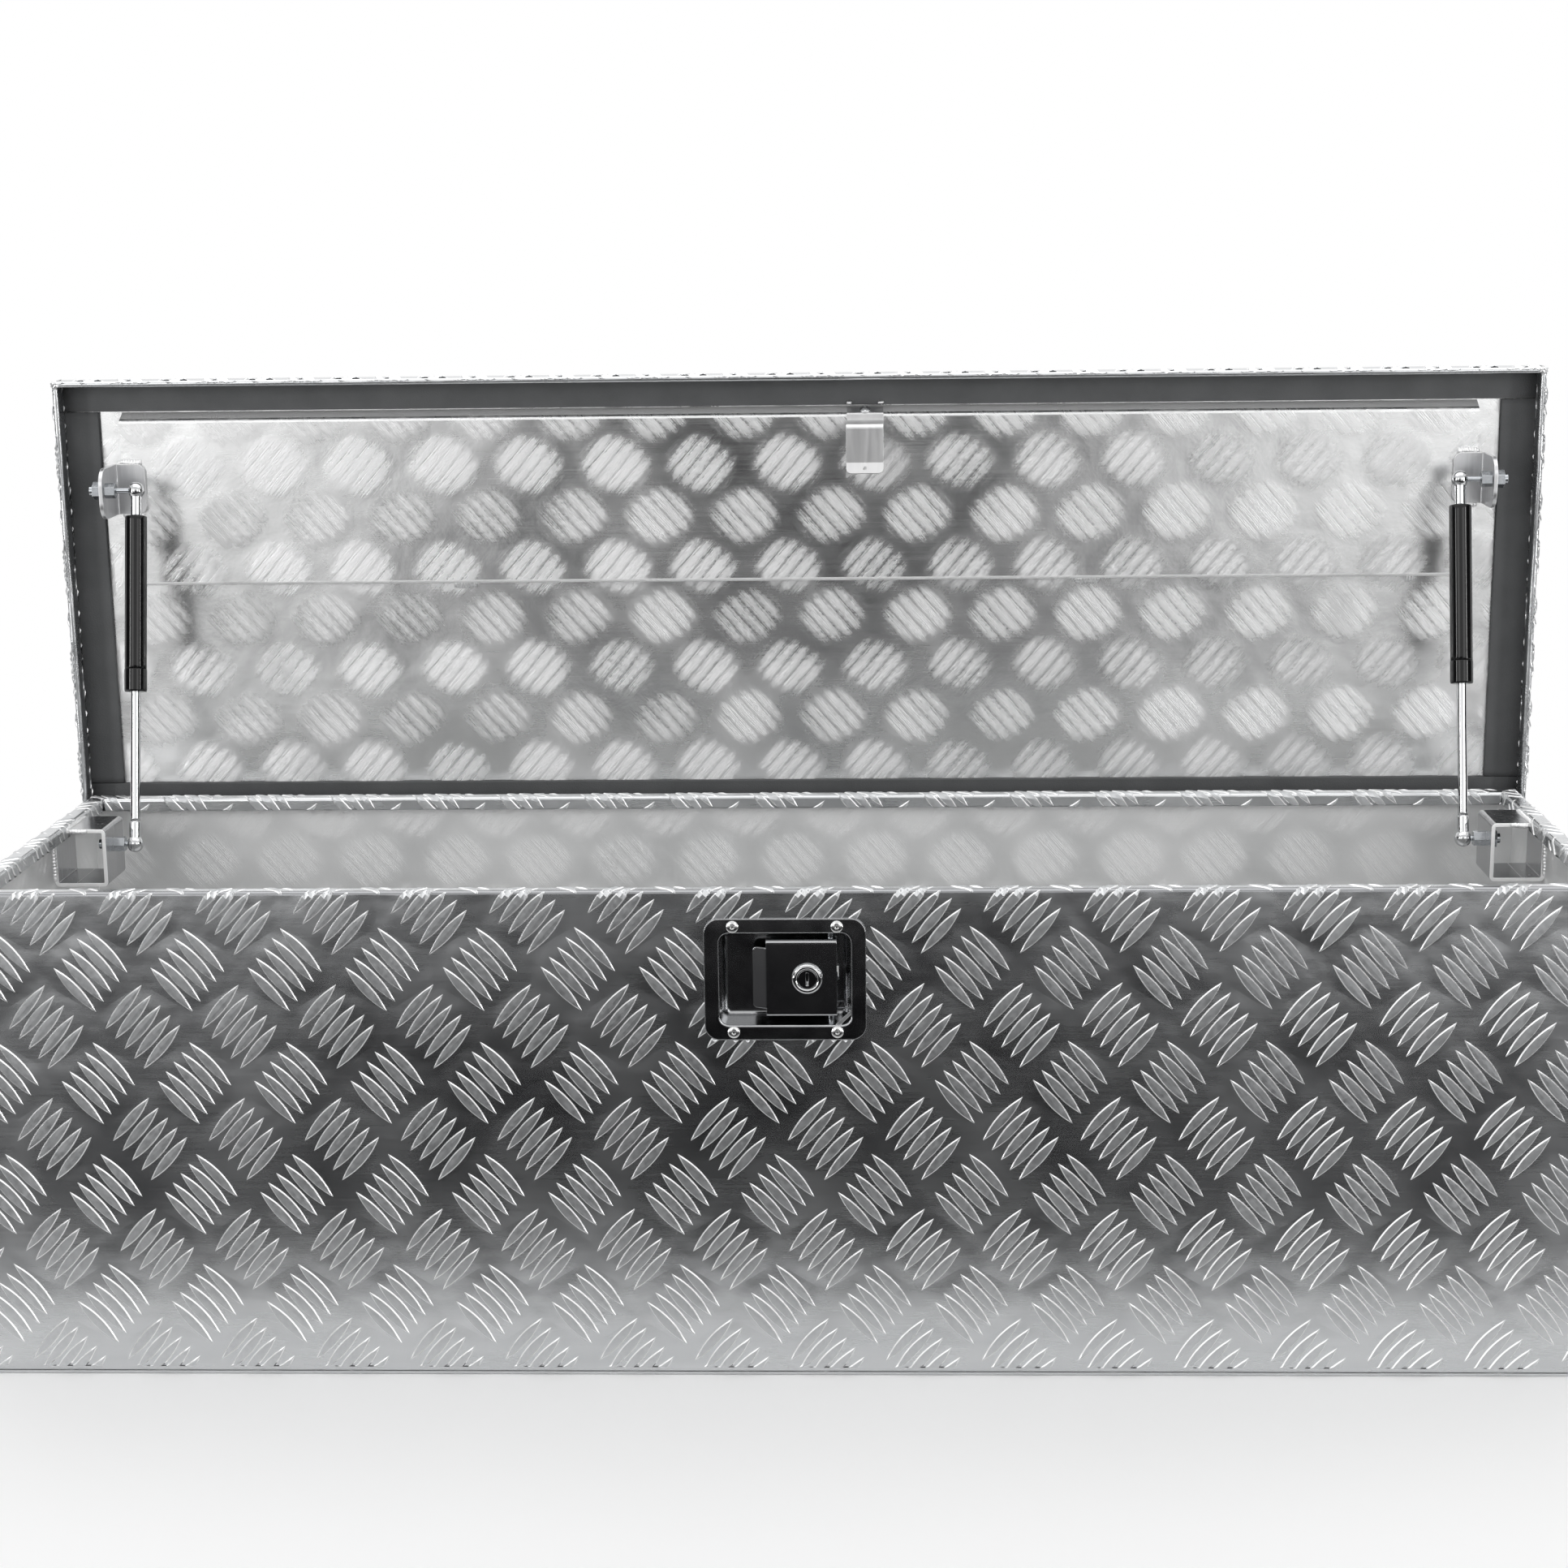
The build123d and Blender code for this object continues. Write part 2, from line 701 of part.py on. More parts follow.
# Strut brackets: an ear folded from a plate on the lid, and a channel closed by an angle in the box
half_flat = bracket_sheet / 2
plate_mid_z = lid_inner_z - stiffener_depth - half_flat
ear_end_z = lid_inner_z - stiffener_depth - upper_ear_reach
channel_top_z = rim_height - lower_bracket_top - half_flat
channel_low_z = rim_height - lower_bracket_bottom + half_flat
return_x = body_length / 2 - rim_width
seam_x = wall_inner_x - lower_seam_from_wall


def bent_flat(path, middle_y, width):
    """Flat bar bent along a path in X and Z, and centred on its place in Y."""
    with BuildPart() as bar:
        with BuildSketch(Plane(origin=(0, middle_y, 0), x_dir=(1, 0, 0), z_dir=(0, -1, 0))):
            with BuildLine():
                FilletPolyline(*path, radius=bracket_bend - half_flat)
            trace(line_width=bracket_sheet)
        extrude(amount=width / 2, both=True)
    return bar.part


def web_hole(place, side, web):
    """The round hole for a stud's thread, ready to be cut from the bracket web."""
    along = Plane(origin=(0, place.Y, place.Z), x_dir=(0, 1, 0), z_dir=(side, 0, 0))
    with BuildPart() as hole:
        with BuildSketch(along.offset(web)):
            Circle(stud_thread_radius)
        extrude(amount=bracket_sheet)
    return hole.part


for side, name in ((-1, "left"), (1, "right")):
    lower_ball = Vector(side * strut_x, lower_ball_y, lower_ball_z)
    shut_ball = Vector(side * strut_x, shut_ball_y, shut_ball_z)
    outward = Axis((0, 0, 0), (side, 0, 0))
    ear_path = [
        (side * (strut_x + upper_ear_offset - upper_plate_width), plate_mid_z),
        (side * (ear_web + half_flat), plate_mid_z),
        (side * (ear_web + half_flat), ear_end_z),
    ]
    with BuildPart() as upper_bracket:
        add(bent_flat(ear_path, shut_ball_y + upper_bracket_shift, upper_bracket_height))
        fillet(upper_bracket.edges().filter_by(Axis.Z).group_by(outward)[0], upper_plate_corner)
        fillet(upper_bracket.edges().filter_by(Axis.X).group_by(Axis.Z)[0], upper_ear_round)
        add(web_hole(shut_ball, side, ear_web), mode=Mode.SUBTRACT)
    keep(opened(upper_bracket.part), f"{name}_upper_bracket")

    channel_path = [
        (side * return_x, channel_top_z),
        (side * (lower_web + half_flat), channel_top_z),
        (side * (lower_web + half_flat), channel_low_z),
        (side * seam_x, channel_low_z),
    ]
    with BuildPart() as strut_channel:
        add(bent_flat(channel_path, lower_ball_y, lower_bracket_length))
        add(web_hole(lower_ball, side, lower_web), mode=Mode.SUBTRACT)
    keep(strut_channel.part, f"{name}_strut_channel")

    angle_path = [
        (side * seam_x, channel_low_z),
        (side * (wall_inner_x - half_flat), channel_low_z),
        (side * (wall_inner_x - half_flat), rim_height - lower_angle_top),
    ]
    keep(bent_flat(angle_path, lower_ball_y, lower_bracket_length), f"{name}_strut_angle")

# Latch dish: a rounded plate drawn into a tapered well, with its rivets
well_plane = Plane(origin=(latch_x, latch_front_y, latch_z), x_dir=(1, 0, 0), z_dir=(0, 1, 0))
half_latch = latch_sheet / 2


def well(grow):
    """The tapered well with rounded floor edges, grown outwards by a wall."""
    with BuildPart() as form:
        with BuildSketch(well_plane):
            RectangleRounded(dish_width + 2 * grow, dish_height + 2 * grow, dish_corner + grow)
        extrude(amount=dish_depth + grow, taper=dish_taper)
        fillet(form.faces().sort_by(Axis.Y)[-1].edges(), dish_floor_fillet + grow)
    return form.part


def lever_slot(sheet_y):
    """The slot that the paddle's lever needs through a wall of the latch, ready to be cut."""
    with BuildPart() as slot:
        with BuildSketch(Plane(origin=(pivot_x, sheet_y, latch_z), x_dir=(1, 0, 0), z_dir=(0, 1, 0))):
            with Locations(((lever_slot_right - lever_slot_left) / 2, 0)):
                Rectangle(lever_slot_left + lever_slot_right, lever_slot_height)
        extrude(amount=latch_sheet)
    return slot.part


with BuildPart() as latch_dish:
    with BuildSketch(well_plane):
        RectangleRounded(latch_width, latch_height, latch_corner)
    extrude(amount=latch_sheet)
    add(well(latch_sheet))
    add(well(0), mode=Mode.SUBTRACT)
    fillet(latch_dish.faces().sort_by(Axis.Y)[0].inner_wires()[0].edges(), dish_rim_fillet)
    with BuildSketch(well_plane):
        with GridLocations(2 * latch_rivet_dx, 2 * latch_rivet_dz, 2, 2):
            Circle(rivet_shank_radius)
    extrude(amount=latch_sheet, mode=Mode.SUBTRACT)
    add(lever_slot(dish_floor_y), mode=Mode.SUBTRACT)
    with BuildSketch(Plane((pivot_x, pivot_y, latch_z))):
        Circle(paddle_pin_radius)
    extrude(amount=latch_height / 2, both=True, mode=Mode.SUBTRACT)
keep(latch_dish.part, "latch_dish")

latch_rivet_places = [
    (latch_x + across * latch_rivet_dx, latch_front_y, latch_z + up * latch_rivet_dz)
    for across in (-1, 1)
    for up in (-1, 1)
]
with BuildPart() as latch_rivets:
    add([blind_rivet(place, (0, -1, 0), latch_sheet + sheet) for place in latch_rivet_places])
keep(latch_rivets.part, "latch_rivets")

# Paddle shaft and its torsion spring
wall_lean = tan(radians(dish_taper))
pin_half = dish_height / 2 + latch_sheet + paddle_pin_over - paddle_pivot_depth * wall_lean
with BuildPart() as paddle_pin:
    with BuildSketch(Plane((pivot_x, pivot_y, latch_z))):
        Circle(paddle_pin_radius)
    extrude(amount=pin_half, both=True)
keep(paddle_pin.part, "paddle_pin")

coil_back_y = pivot_y + spring_coil_radius
coil_low_z = latch_z + spring_low
coil_height = spring_pitch * spring_turns
dish_side_x = latch_x + dish_width / 2 - (coil_back_y - latch_front_y) * wall_lean
coil_facets = 12
wire_sides = 6
coil_points = [
    (
        pivot_x - spring_coil_radius * sin(2 * pi * step / coil_facets),
        pivot_y + spring_coil_radius * cos(2 * pi * step / coil_facets),
        coil_low_z + spring_pitch * step / coil_facets,
    )
    for step in range(spring_turns * coil_facets + 1)
]
long_leg_end = (dish_side_x, coil_back_y, coil_low_z)
short_leg_end = (pivot_x - spring_short_leg, coil_back_y, coil_low_z + coil_height)
with BuildPart() as paddle_spring:
    with BuildLine() as wire:
        Polyline(long_leg_end, *coil_points, short_leg_end)
    with BuildSketch(Plane(origin=wire.line @ 0, z_dir=wire.line % 0)):
        RegularPolygon(spring_wire_radius, wire_sides)
    sweep(path=wire.line, transition=Transition.RIGHT)
keep(paddle_spring.part, "paddle_spring")

# Paddle: a shallow pan open at its ends, its left end folded inwards as a finger tab
fold_x = latch_x + paddle_fold
face_mid_y = paddle_face_y + paddle_sheet / 2
flange_y = paddle_face_y + paddle_flange
half_pan = (paddle_height - paddle_sheet) / 2
tab_lean = tan(radians(paddle_tip_angle))
pan_path = [
    (flange_y, latch_z - half_pan),
    (face_mid_y, latch_z - half_pan),
    (face_mid_y, latch_z + half_pan),
    (flange_y, latch_z + half_pan),
]
tab_run = paddle_fold - paddle_tip + paddle_sheet
tab_path = [
    (fold_x + paddle_bend, face_mid_y),
    (fold_x, face_mid_y),
    (fold_x - tab_run, face_mid_y + tab_run * tab_lean),
]
tab_width = paddle_fold - paddle_tip + 2 * paddle_tab_corner
lock_point = Vector(latch_x + lock_x, paddle_face_y, latch_z)
lock_plane = Plane(origin=lock_point, x_dir=(1, 0, 0), z_dir=(0, -1, 0))
rib_length = pivot_y + lever_reach - paddle_back_y

with BuildPart() as finger_tab:
    with BuildSketch(Plane((0, 0, latch_z))):
        with BuildLine():
            FilletPolyline(*tab_path, radius=paddle_bend)
        trace(line_width=paddle_sheet)
    extrude(amount=paddle_tab_height / 2, both=True)
    with BuildSketch(lock_plane):
        with Locations((paddle_tip + tab_width / 2 - lock_x, 0)):
            RectangleRounded(tab_width, paddle_tab_height, paddle_tab_corner)
    extrude(amount=dish_depth, both=True, mode=Mode.INTERSECT)

with BuildPart() as paddle:
    with BuildSketch(Plane.YZ.offset(fold_x)):
        with BuildLine():
            FilletPolyline(*pan_path, radius=paddle_bend - paddle_sheet / 2)
        trace(line_width=paddle_sheet)
    extrude(amount=paddle_right - paddle_fold)
    add(finger_tab.part)
    with BuildSketch(Plane((0, 0, latch_z))):
        with Locations((pivot_x, pivot_y)):
            Circle(lever_boss_radius)
        with Locations((pivot_x, paddle_back_y + rib_length / 2)):
            Rectangle(lever_width, rib_length)
    extrude(amount=lever_thick / 2, both=True)
    with BuildSketch(Plane((pivot_x, pivot_y, latch_z))):
        Circle(paddle_pin_radius + running_clearance)
    extrude(amount=paddle_height, both=True, mode=Mode.SUBTRACT)
    with BuildSketch(lock_plane):
        Circle(lock_barrel_radius)
    extrude(amount=-paddle_sheet, mode=Mode.SUBTRACT)
keep(paddle.part, "paddle")

# Key lock: barrel and bezel on the paddle, with a plug that turns a cam behind it
barrel_back = paddle_sheet + lock_barrel_length
plug_bore = lock_plug_radius + running_clearance
barrel_outline = [
    (plug_bore, -barrel_back),
    (lock_barrel_radius, -barrel_back),
    (lock_barrel_radius, 0),
    (lock_bezel_radius, 0),
    (lock_bezel_radius, lock_lip_height),
    (lock_crown_radius, lock_bezel_height),
    (plug_bore, lock_bezel_height),
]
keep(turned(lock_point, (0, -1, 0), barrel_outline), "lock_barrel")

plug_face = lock_bezel_height - lock_recess
neck_back = barrel_back + cam_neck_length
with BuildPart() as lock_plug:
    with BuildSketch(lock_plane.offset(-barrel_back)):
        Circle(lock_plug_radius)
    extrude(amount=barrel_back + plug_face)
    with BuildSketch(lock_plane.offset(-neck_back)):
        Circle(cam_neck_radius)
    extrude(amount=cam_neck_length)
    with BuildSketch(lock_plane.offset(plug_face)):
        RectangleRounded(keyway_width, keyway_height, keyway_width / 4)
    extrude(amount=-keyway_depth, mode=Mode.SUBTRACT)
keep(lock_plug.part, "lock_plug")

with BuildPart() as lock_cam:
    with BuildSketch(lock_plane.offset(-neck_back)):
        Circle(cam_width / 2)
        with Locations((0, -cam_reach / 2)):
            Rectangle(cam_width, cam_reach)
    extrude(amount=-cam_thick)
keep(lock_cam.part, "lock_cam")

# Slam bolt: a carriage behind the dish, moved by the paddle's lever, with a bevelled tongue over the striker
carriage_y = dish_back_y + bolt_gap
case_back_y = carriage_y + bolt_sheet + bolt_gap
bar_back_y = latch_front_y + bolt_bar_depth
notch_left = paddle_pivot_x - lever_width / 2 - lever_play
carriage_plane = Plane(origin=(latch_x, carriage_y, latch_z), x_dir=(1, 0, 0), z_dir=(0, -1, 0))


def block(x_low, x_high, z_low, z_high, mode=Mode.ADD):
    """A rectangle on the carriage plane from its sides."""
    with Locations(((x_low + x_high) / 2, (z_low + z_high) / 2)):
        Rectangle(x_high - x_low, z_high - z_low, mode=mode)


with BuildPart() as latch_bolt:
    with BuildSketch(carriage_plane):
        block(bolt_left, bolt_right, bolt_bottom, bolt_shoulder)
        block(bolt_left, bolt_bar_right, bolt_shoulder, bar_top)
        block(notch_left, bolt_right, -notch_height / 2, notch_height / 2, Mode.SUBTRACT)
    extrude(amount=-bolt_sheet)
    with BuildSketch(carriage_plane):
        block(bolt_left, bolt_bar_right, bar_bottom, bar_top)
    extrude(amount=carriage_y - bar_back_y)
    with BuildSketch(Plane(origin=(latch_x, bar_back_y, latch_z), x_dir=(1, 0, 0), z_dir=(0, -1, 0))):
        block(bolt_left, bolt_bar_right + tongue_reach, bar_bottom, bar_top)
    extrude(amount=tongue_length)
    chamfer(latch_bolt.edges().filter_by(Axis.Y).group_by(Axis.X)[-1].sort_by(Axis.Z)[-1], tongue_bevel)
keep(latch_bolt.part, "latch_bolt")

# Case that guides the bolt: foot on the back of the dish, ledge under the carriage and a wall behind it
ledge_z = latch_z + bolt_bottom - bolt_gap - half_latch
case_path = [
    (dish_back_y + half_latch, ledge_z - case_foot),
    (dish_back_y + half_latch, ledge_z),
    (case_back_y + half_latch, ledge_z),
    (case_back_y + half_latch, latch_z + bar_bottom - part_clearance),
]
with BuildPart() as latch_case:
    with BuildSketch(Plane.YZ.offset(latch_x + case_left)):
        with BuildLine():
            FilletPolyline(*case_path, radius=case_bend)
        trace(line_width=latch_sheet)
    extrude(amount=case_right - case_left)
    add(lever_slot(case_back_y), mode=Mode.SUBTRACT)
keep(latch_case.part, "latch_case")
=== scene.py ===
import math
import bmesh
import bpy
import numpy as np
from mathutils import Matrix, Vector


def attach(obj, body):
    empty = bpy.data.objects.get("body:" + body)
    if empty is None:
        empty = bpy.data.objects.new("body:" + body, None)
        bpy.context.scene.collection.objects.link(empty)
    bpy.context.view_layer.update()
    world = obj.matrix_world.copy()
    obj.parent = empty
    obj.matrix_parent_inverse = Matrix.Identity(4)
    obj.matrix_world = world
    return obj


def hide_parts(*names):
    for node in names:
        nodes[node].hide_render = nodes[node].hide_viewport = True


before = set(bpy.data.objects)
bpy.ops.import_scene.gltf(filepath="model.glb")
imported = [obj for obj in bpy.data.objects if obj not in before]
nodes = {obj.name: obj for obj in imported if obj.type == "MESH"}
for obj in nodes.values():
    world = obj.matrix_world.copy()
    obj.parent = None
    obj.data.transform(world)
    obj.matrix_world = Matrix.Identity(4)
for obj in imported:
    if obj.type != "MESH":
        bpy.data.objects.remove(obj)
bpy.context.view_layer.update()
print("frame loaded:", len(nodes), "nodes")

# Millimetres throughout; meshes are divided by 1000 on the way into Blender.
box = {"halfLength": 609.0, "halfDepth": 181.0, "rim": 377.7, "bend": 3.0, "rimWidth": 14.0, "returnEnd": 366.7}
lid = {"halfLength": 619.5, "front": -191.5, "back": 187.5, "top": 385.0, "inner": 383.0,
       "skirtLow": 357.7, "hemStack": 5.0, "hemTop": 371.7, "hemBend": 2.3, "bend": 3.0}
hinge = {"y": 183.8, "z": 354.7, "open": 89.0}


def linearColour(code):
    # sRGB hex to linear: c / 12.92 below 0.04045, ((c + 0.055) / 1.055) ** 2.4 above it
    c = np.array([int(code[i:i + 2], 16) / 255 for i in (1, 3, 5)])
    return (*np.where(c < 0.04045, c / 12.92, ((c + 0.055) / 1.055) ** 2.4), 1.0)


def swing(points):
    # lid points drawn shut, turned -89 degrees about the hinge line to the open rest position
    turn = math.radians(-hinge["open"])
    dy, dz = points[..., 1] - hinge["y"], points[..., 2] - hinge["z"]
    y = hinge["y"] + dy * math.cos(turn) - dz * math.sin(turn)
    z = hinge["z"] + dy * math.sin(turn) + dz * math.cos(turn)
    return np.stack([points[..., 0], y, z], axis=-1)


def gridFaces(rows, columns, count=1, ring=False):
    # quads of `count` grids of rows x columns points, numbered row by row; ring joins the last column to the first
    across = columns if ring else columns - 1
    r, c = np.meshgrid(np.arange(rows - 1), np.arange(across), indexing="ij")
    a, b = r * columns + c, r * columns + (c + 1) % columns
    one = np.stack([a, b, b + columns, a + columns], axis=-1).reshape(-1, 4)
    return (one[None] + (np.arange(count) * rows * columns)[:, None, None]).reshape(-1, 4)


def addPiece(name, points, faces, body, materials, smooth=True, chosen=None):
    # one mesh from an array of points in millimetres and an array of quads; chosen is each face's material number
    mesh = bpy.data.meshes.new(name)
    mesh.vertices.add(len(points))
    mesh.vertices.foreach_set("co", (points / 1000).astype(np.float32).ravel())
    mesh.loops.add(faces.size)
    mesh.loops.foreach_set("vertex_index", faces.astype(np.int32).ravel())
    mesh.polygons.add(len(faces))
    mesh.polygons.foreach_set("loop_start", np.arange(len(faces), dtype=np.int32) * faces.shape[1])
    mesh.polygons.foreach_set("loop_total", np.full(len(faces), faces.shape[1], np.int32))
    mesh.polygons.foreach_set("use_smooth", np.full(len(faces), smooth))
    for material in materials:
        mesh.materials.append(material)
    if chosen is not None:
        mesh.polygons.foreach_set("material_index", chosen.astype(np.int32))
    mesh.update(calc_edges=True)
    piece = bpy.data.objects.new(name, mesh)
    bpy.context.scene.collection.objects.link(piece)
    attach(piece, body)
    return piece


def put(tree, kind, inputs=None, **settings):
    # adds one node with its settings; an input is a plain value, a socket, or a node whose first output is meant
    node = tree.nodes.new(kind)
    for name, value in settings.items():
        setattr(node, name, value)
    for socket, value in (inputs or {}).items():
        if isinstance(value, bpy.types.Node):
            value = value.outputs[0]
        if isinstance(value, bpy.types.NodeSocket):
            tree.links.new(value, node.inputs[socket])
        else:
            node.inputs[socket].default_value = value
    return node


def newMaterial(name):
    material = bpy.data.materials.new(name)
    material.use_nodes = True
    material.node_tree.nodes.clear()
    return material, material.node_tree


def millimetres(tree, shutFrame=False):
    # Object coordinates in millimetres; lid coordinates are turned back to the shut position
    place = put(tree, "ShaderNodeTexCoord").outputs["Object"]
    turn, shift = 0.0, (0.0, 0.0, 0.0)
    if shutFrame:
        turn = math.radians(hinge["open"])
        y, z = hinge["y"], hinge["z"]
        shift = (0, y - y * math.cos(turn) + z * math.sin(turn), z - y * math.sin(turn) - z * math.cos(turn))
    return put(tree, "ShaderNodeMapping", {"Vector": place, "Location": shift, "Rotation": (turn, 0, 0),
                                           "Scale": (1000, 1000, 1000)})


def finishSurface(tree, colour, rough, relief, settings, bumped=None):
    # the last nodes of a surface: its relief, in millimetres, bumps the shading
    bump = put(tree, "ShaderNodeBump", {"Height": relief, "Strength": 1.0, "Distance": 0.001, **(bumped or {})})
    shader = put(tree, "ShaderNodeBsdfPrincipled", {"Base Color": colour.outputs[2], "Roughness": rough, "Normal": bump,
                                                    **settings})
    put(tree, "ShaderNodeOutputMaterial", {"Surface": shader})


# Five-bar tread: the groups stand on a staggered lattice and lean alternately left and right
tread = {"pitchX": 72.34, "pitchY": 87.26, "phaseX": -5.6, "phaseY": 231.5, "angle": 49.0, "perGroup": 5,
         "leftStep": (6.34, 7.47), "rightStep": (6.70, -7.72), "cells": 40, "beyond": 15,
         "halfLength": 22.3, "halfWidth": 3.9, "tip": 0.2, "flank": 0.95, "height": 1.05,
         "rises": (-0.12, 0.93, 1.0, 0.93, -0.12), "along": 13, "sunk": -0.4, "pastEnd": 0.6, "mitre": 1.0,
         "foldSamples": 14}


def barLattice(halfAlong, low, high, phase):
    # centres and headings of every bar whose centre lies in the flat pattern of a panel, or a little beyond it
    i = np.arange(-tread["cells"], tread["cells"] + 1)
    gx, gy = np.meshgrid(i * tread["pitchX"], i * tread["pitchY"], indexing="ij")
    k = np.arange(tread["perGroup"]) - (tread["perGroup"] - 1) / 2
    centres, headings = [], []
    for sign, step, shift in ((-1, tread["leftStep"], 0.0), (1, tread["rightStep"], 0.5)):
        x = gx + phase[0] + shift * tread["pitchX"]
        y = gy + phase[1] + shift * tread["pitchY"]
        c = np.stack([x[..., None] + k * step[0], y[..., None] + k * step[1]], axis=-1).reshape(-1, 2)
        centres.append(c)
        headings.append(np.full(len(c), sign * math.radians(tread["angle"])))
    centres, headings = np.concatenate(centres), np.concatenate(headings)
    x, y, beyond = centres[:, 0], centres[:, 1], tread["beyond"]
    inside = (abs(x) < halfAlong + beyond) & (y > low - beyond) & (y < high + beyond)
    return centres[inside], headings[inside]


def barShapes(centres, headings):
    # each bar is a lens whose half width falls as 1 - u^2 and height as 1 - u^7 along it, u being 1 at its ends;
    # a flank of even width climbs to a flat crest
    u = np.linspace(-1, 1, tread["along"])[:, None]
    wide = tread["halfWidth"] * (1 - u ** 2) + tread["tip"]
    crest = np.maximum(wide - tread["flank"], wide * 0.25)
    across = np.concatenate([-wide, -crest, 0 * crest, crest, wide], axis=1)[None]
    along = u[None] * tread["halfLength"] + 0 * across
    cosine, sine = np.cos(headings)[:, None, None], np.sin(headings)[:, None, None]
    s = centres[:, 0, None, None] + along * cosine - across * sine
    t = centres[:, 1, None, None] + along * sine + across * cosine
    h = tread["height"] * np.array(tread["rises"]) * (1 - np.abs(u[None]) ** 7) + 0 * s
    return s, t, h


def profileTable(corners, radii):
    # a folded sheet's outer line, straight runs joined by quarter arcs: run length, place and outward normal
    corners = np.array(corners, float)
    ways = np.diff(corners, axis=0)
    ways /= np.linalg.norm(ways, axis=1, keepdims=True)
    outs = np.stack([-ways[:, 1], ways[:, 0]], axis=-1)
    a = np.linspace(0, math.pi / 2, tread["foldSamples"])[:, None]
    points, normals = [corners[:1]], [outs[:1]]
    for corner, way, before, after, r in zip(corners[1:], ways, outs, outs[1:], radii):
        normal = before * np.cos(a) + after * np.sin(a)
        points.append(corner - way * r - before * r + normal * r)
        normals.append(normal)
    points, normals = np.concatenate([*points, corners[-1:]]), np.concatenate([*normals, outs[-1:]])
    run = np.concatenate([[0], np.cumsum(np.linalg.norm(np.diff(points, axis=0), axis=1))])
    return run, points, normals


def layOnFold(s, t, h, table, half, place, alongWay, inWay):
    # carries flat-pattern points (s along, t up the fold, h proud) onto a folded side, held inside its mitred ends
    run, points, normals = table
    across, up, nx, nz = (np.interp(t, run, column) for column in (*points.T, *normals.T))
    limit = half - np.maximum(across, 0) - tread["mitre"]
    s = np.clip(s, -limit, limit)
    across, up = across + nx * h, up + nz * h
    place, alongWay, inWay = (np.array(v, float) for v in (place, alongWay, inWay))
    flat = place + s[..., None] * alongWay + across[..., None] * inWay
    flat[..., 2] += up
    return flat


def barPiece(name, points, body, turn=False):
    # every bar is a grid of its length by its rises; flanks take the second material, whose near-white colour is a
    # painted highlight outlining each crest
    rows, columns = tread["along"], len(tread["rises"])
    count = points.size // (3 * rows * columns)
    faces = gridFaces(rows, columns, count)
    flank = np.tile(np.array([1, 0, 0, 1]), count * (rows - 1))
    flat = points.reshape(-1, 3)
    addPiece(name, swing(flat) if turn else flat, faces, body, [barCrest, barFlankHighlight], smooth=False,
             chosen=flank)


# Rolled aluminium tread plate, mill finish. The skin between the bars is bright and faintly streaked along the rolling,
# so it shows soft stretched reflections; the plain side carries dull ghosts of the bars pressed through from outside,
# coloured a little lighter as a painted highlight.
ghosts = {"halfLength": 25.0, "halfPitch": 4.9, "lean": 0.15, "bar": 0.6, "bloom": 0.26, "oval": (1 / 31, 1 / 30, 0),
          "fade": {"From Min": 1.06, "From Max": 0.5}, "brush": (0.045, 1.0, 1.0),
          "strokes": {"From Min": 0.35, "From Max": 0.63, "To Min": 0.15, "To Max": 1.35},
          "rougher": 0.34, "swellOutside": 0.3, "swellInside": 0.05}
# the bend tone is painted shade, laid on the outside of the front rim's bend
# the web tone is a painted highlight, laid on the folds beside the stiffener's web
sheetTones = {"outer": ("#c2c4c6", "#dadbdc"), "inner": ("#dcdddd", "#eeeeee"), "wearAndSheen": "#f1f1f1",
              "bend": "#919294", "web": "#f8f8f8", "webRough": 0.62, "outerRough": (0.17, 0.28), "outerWaves": 2.6,
              "scuffs": 0.08, "grain": 0.03}
edgeWearAndSheen = {"From Min": 0.985, "From Max": 0.9}  # cosine between the flat and the rounded normal where wear and a painted edge highlight show
wornRougher = 0.3


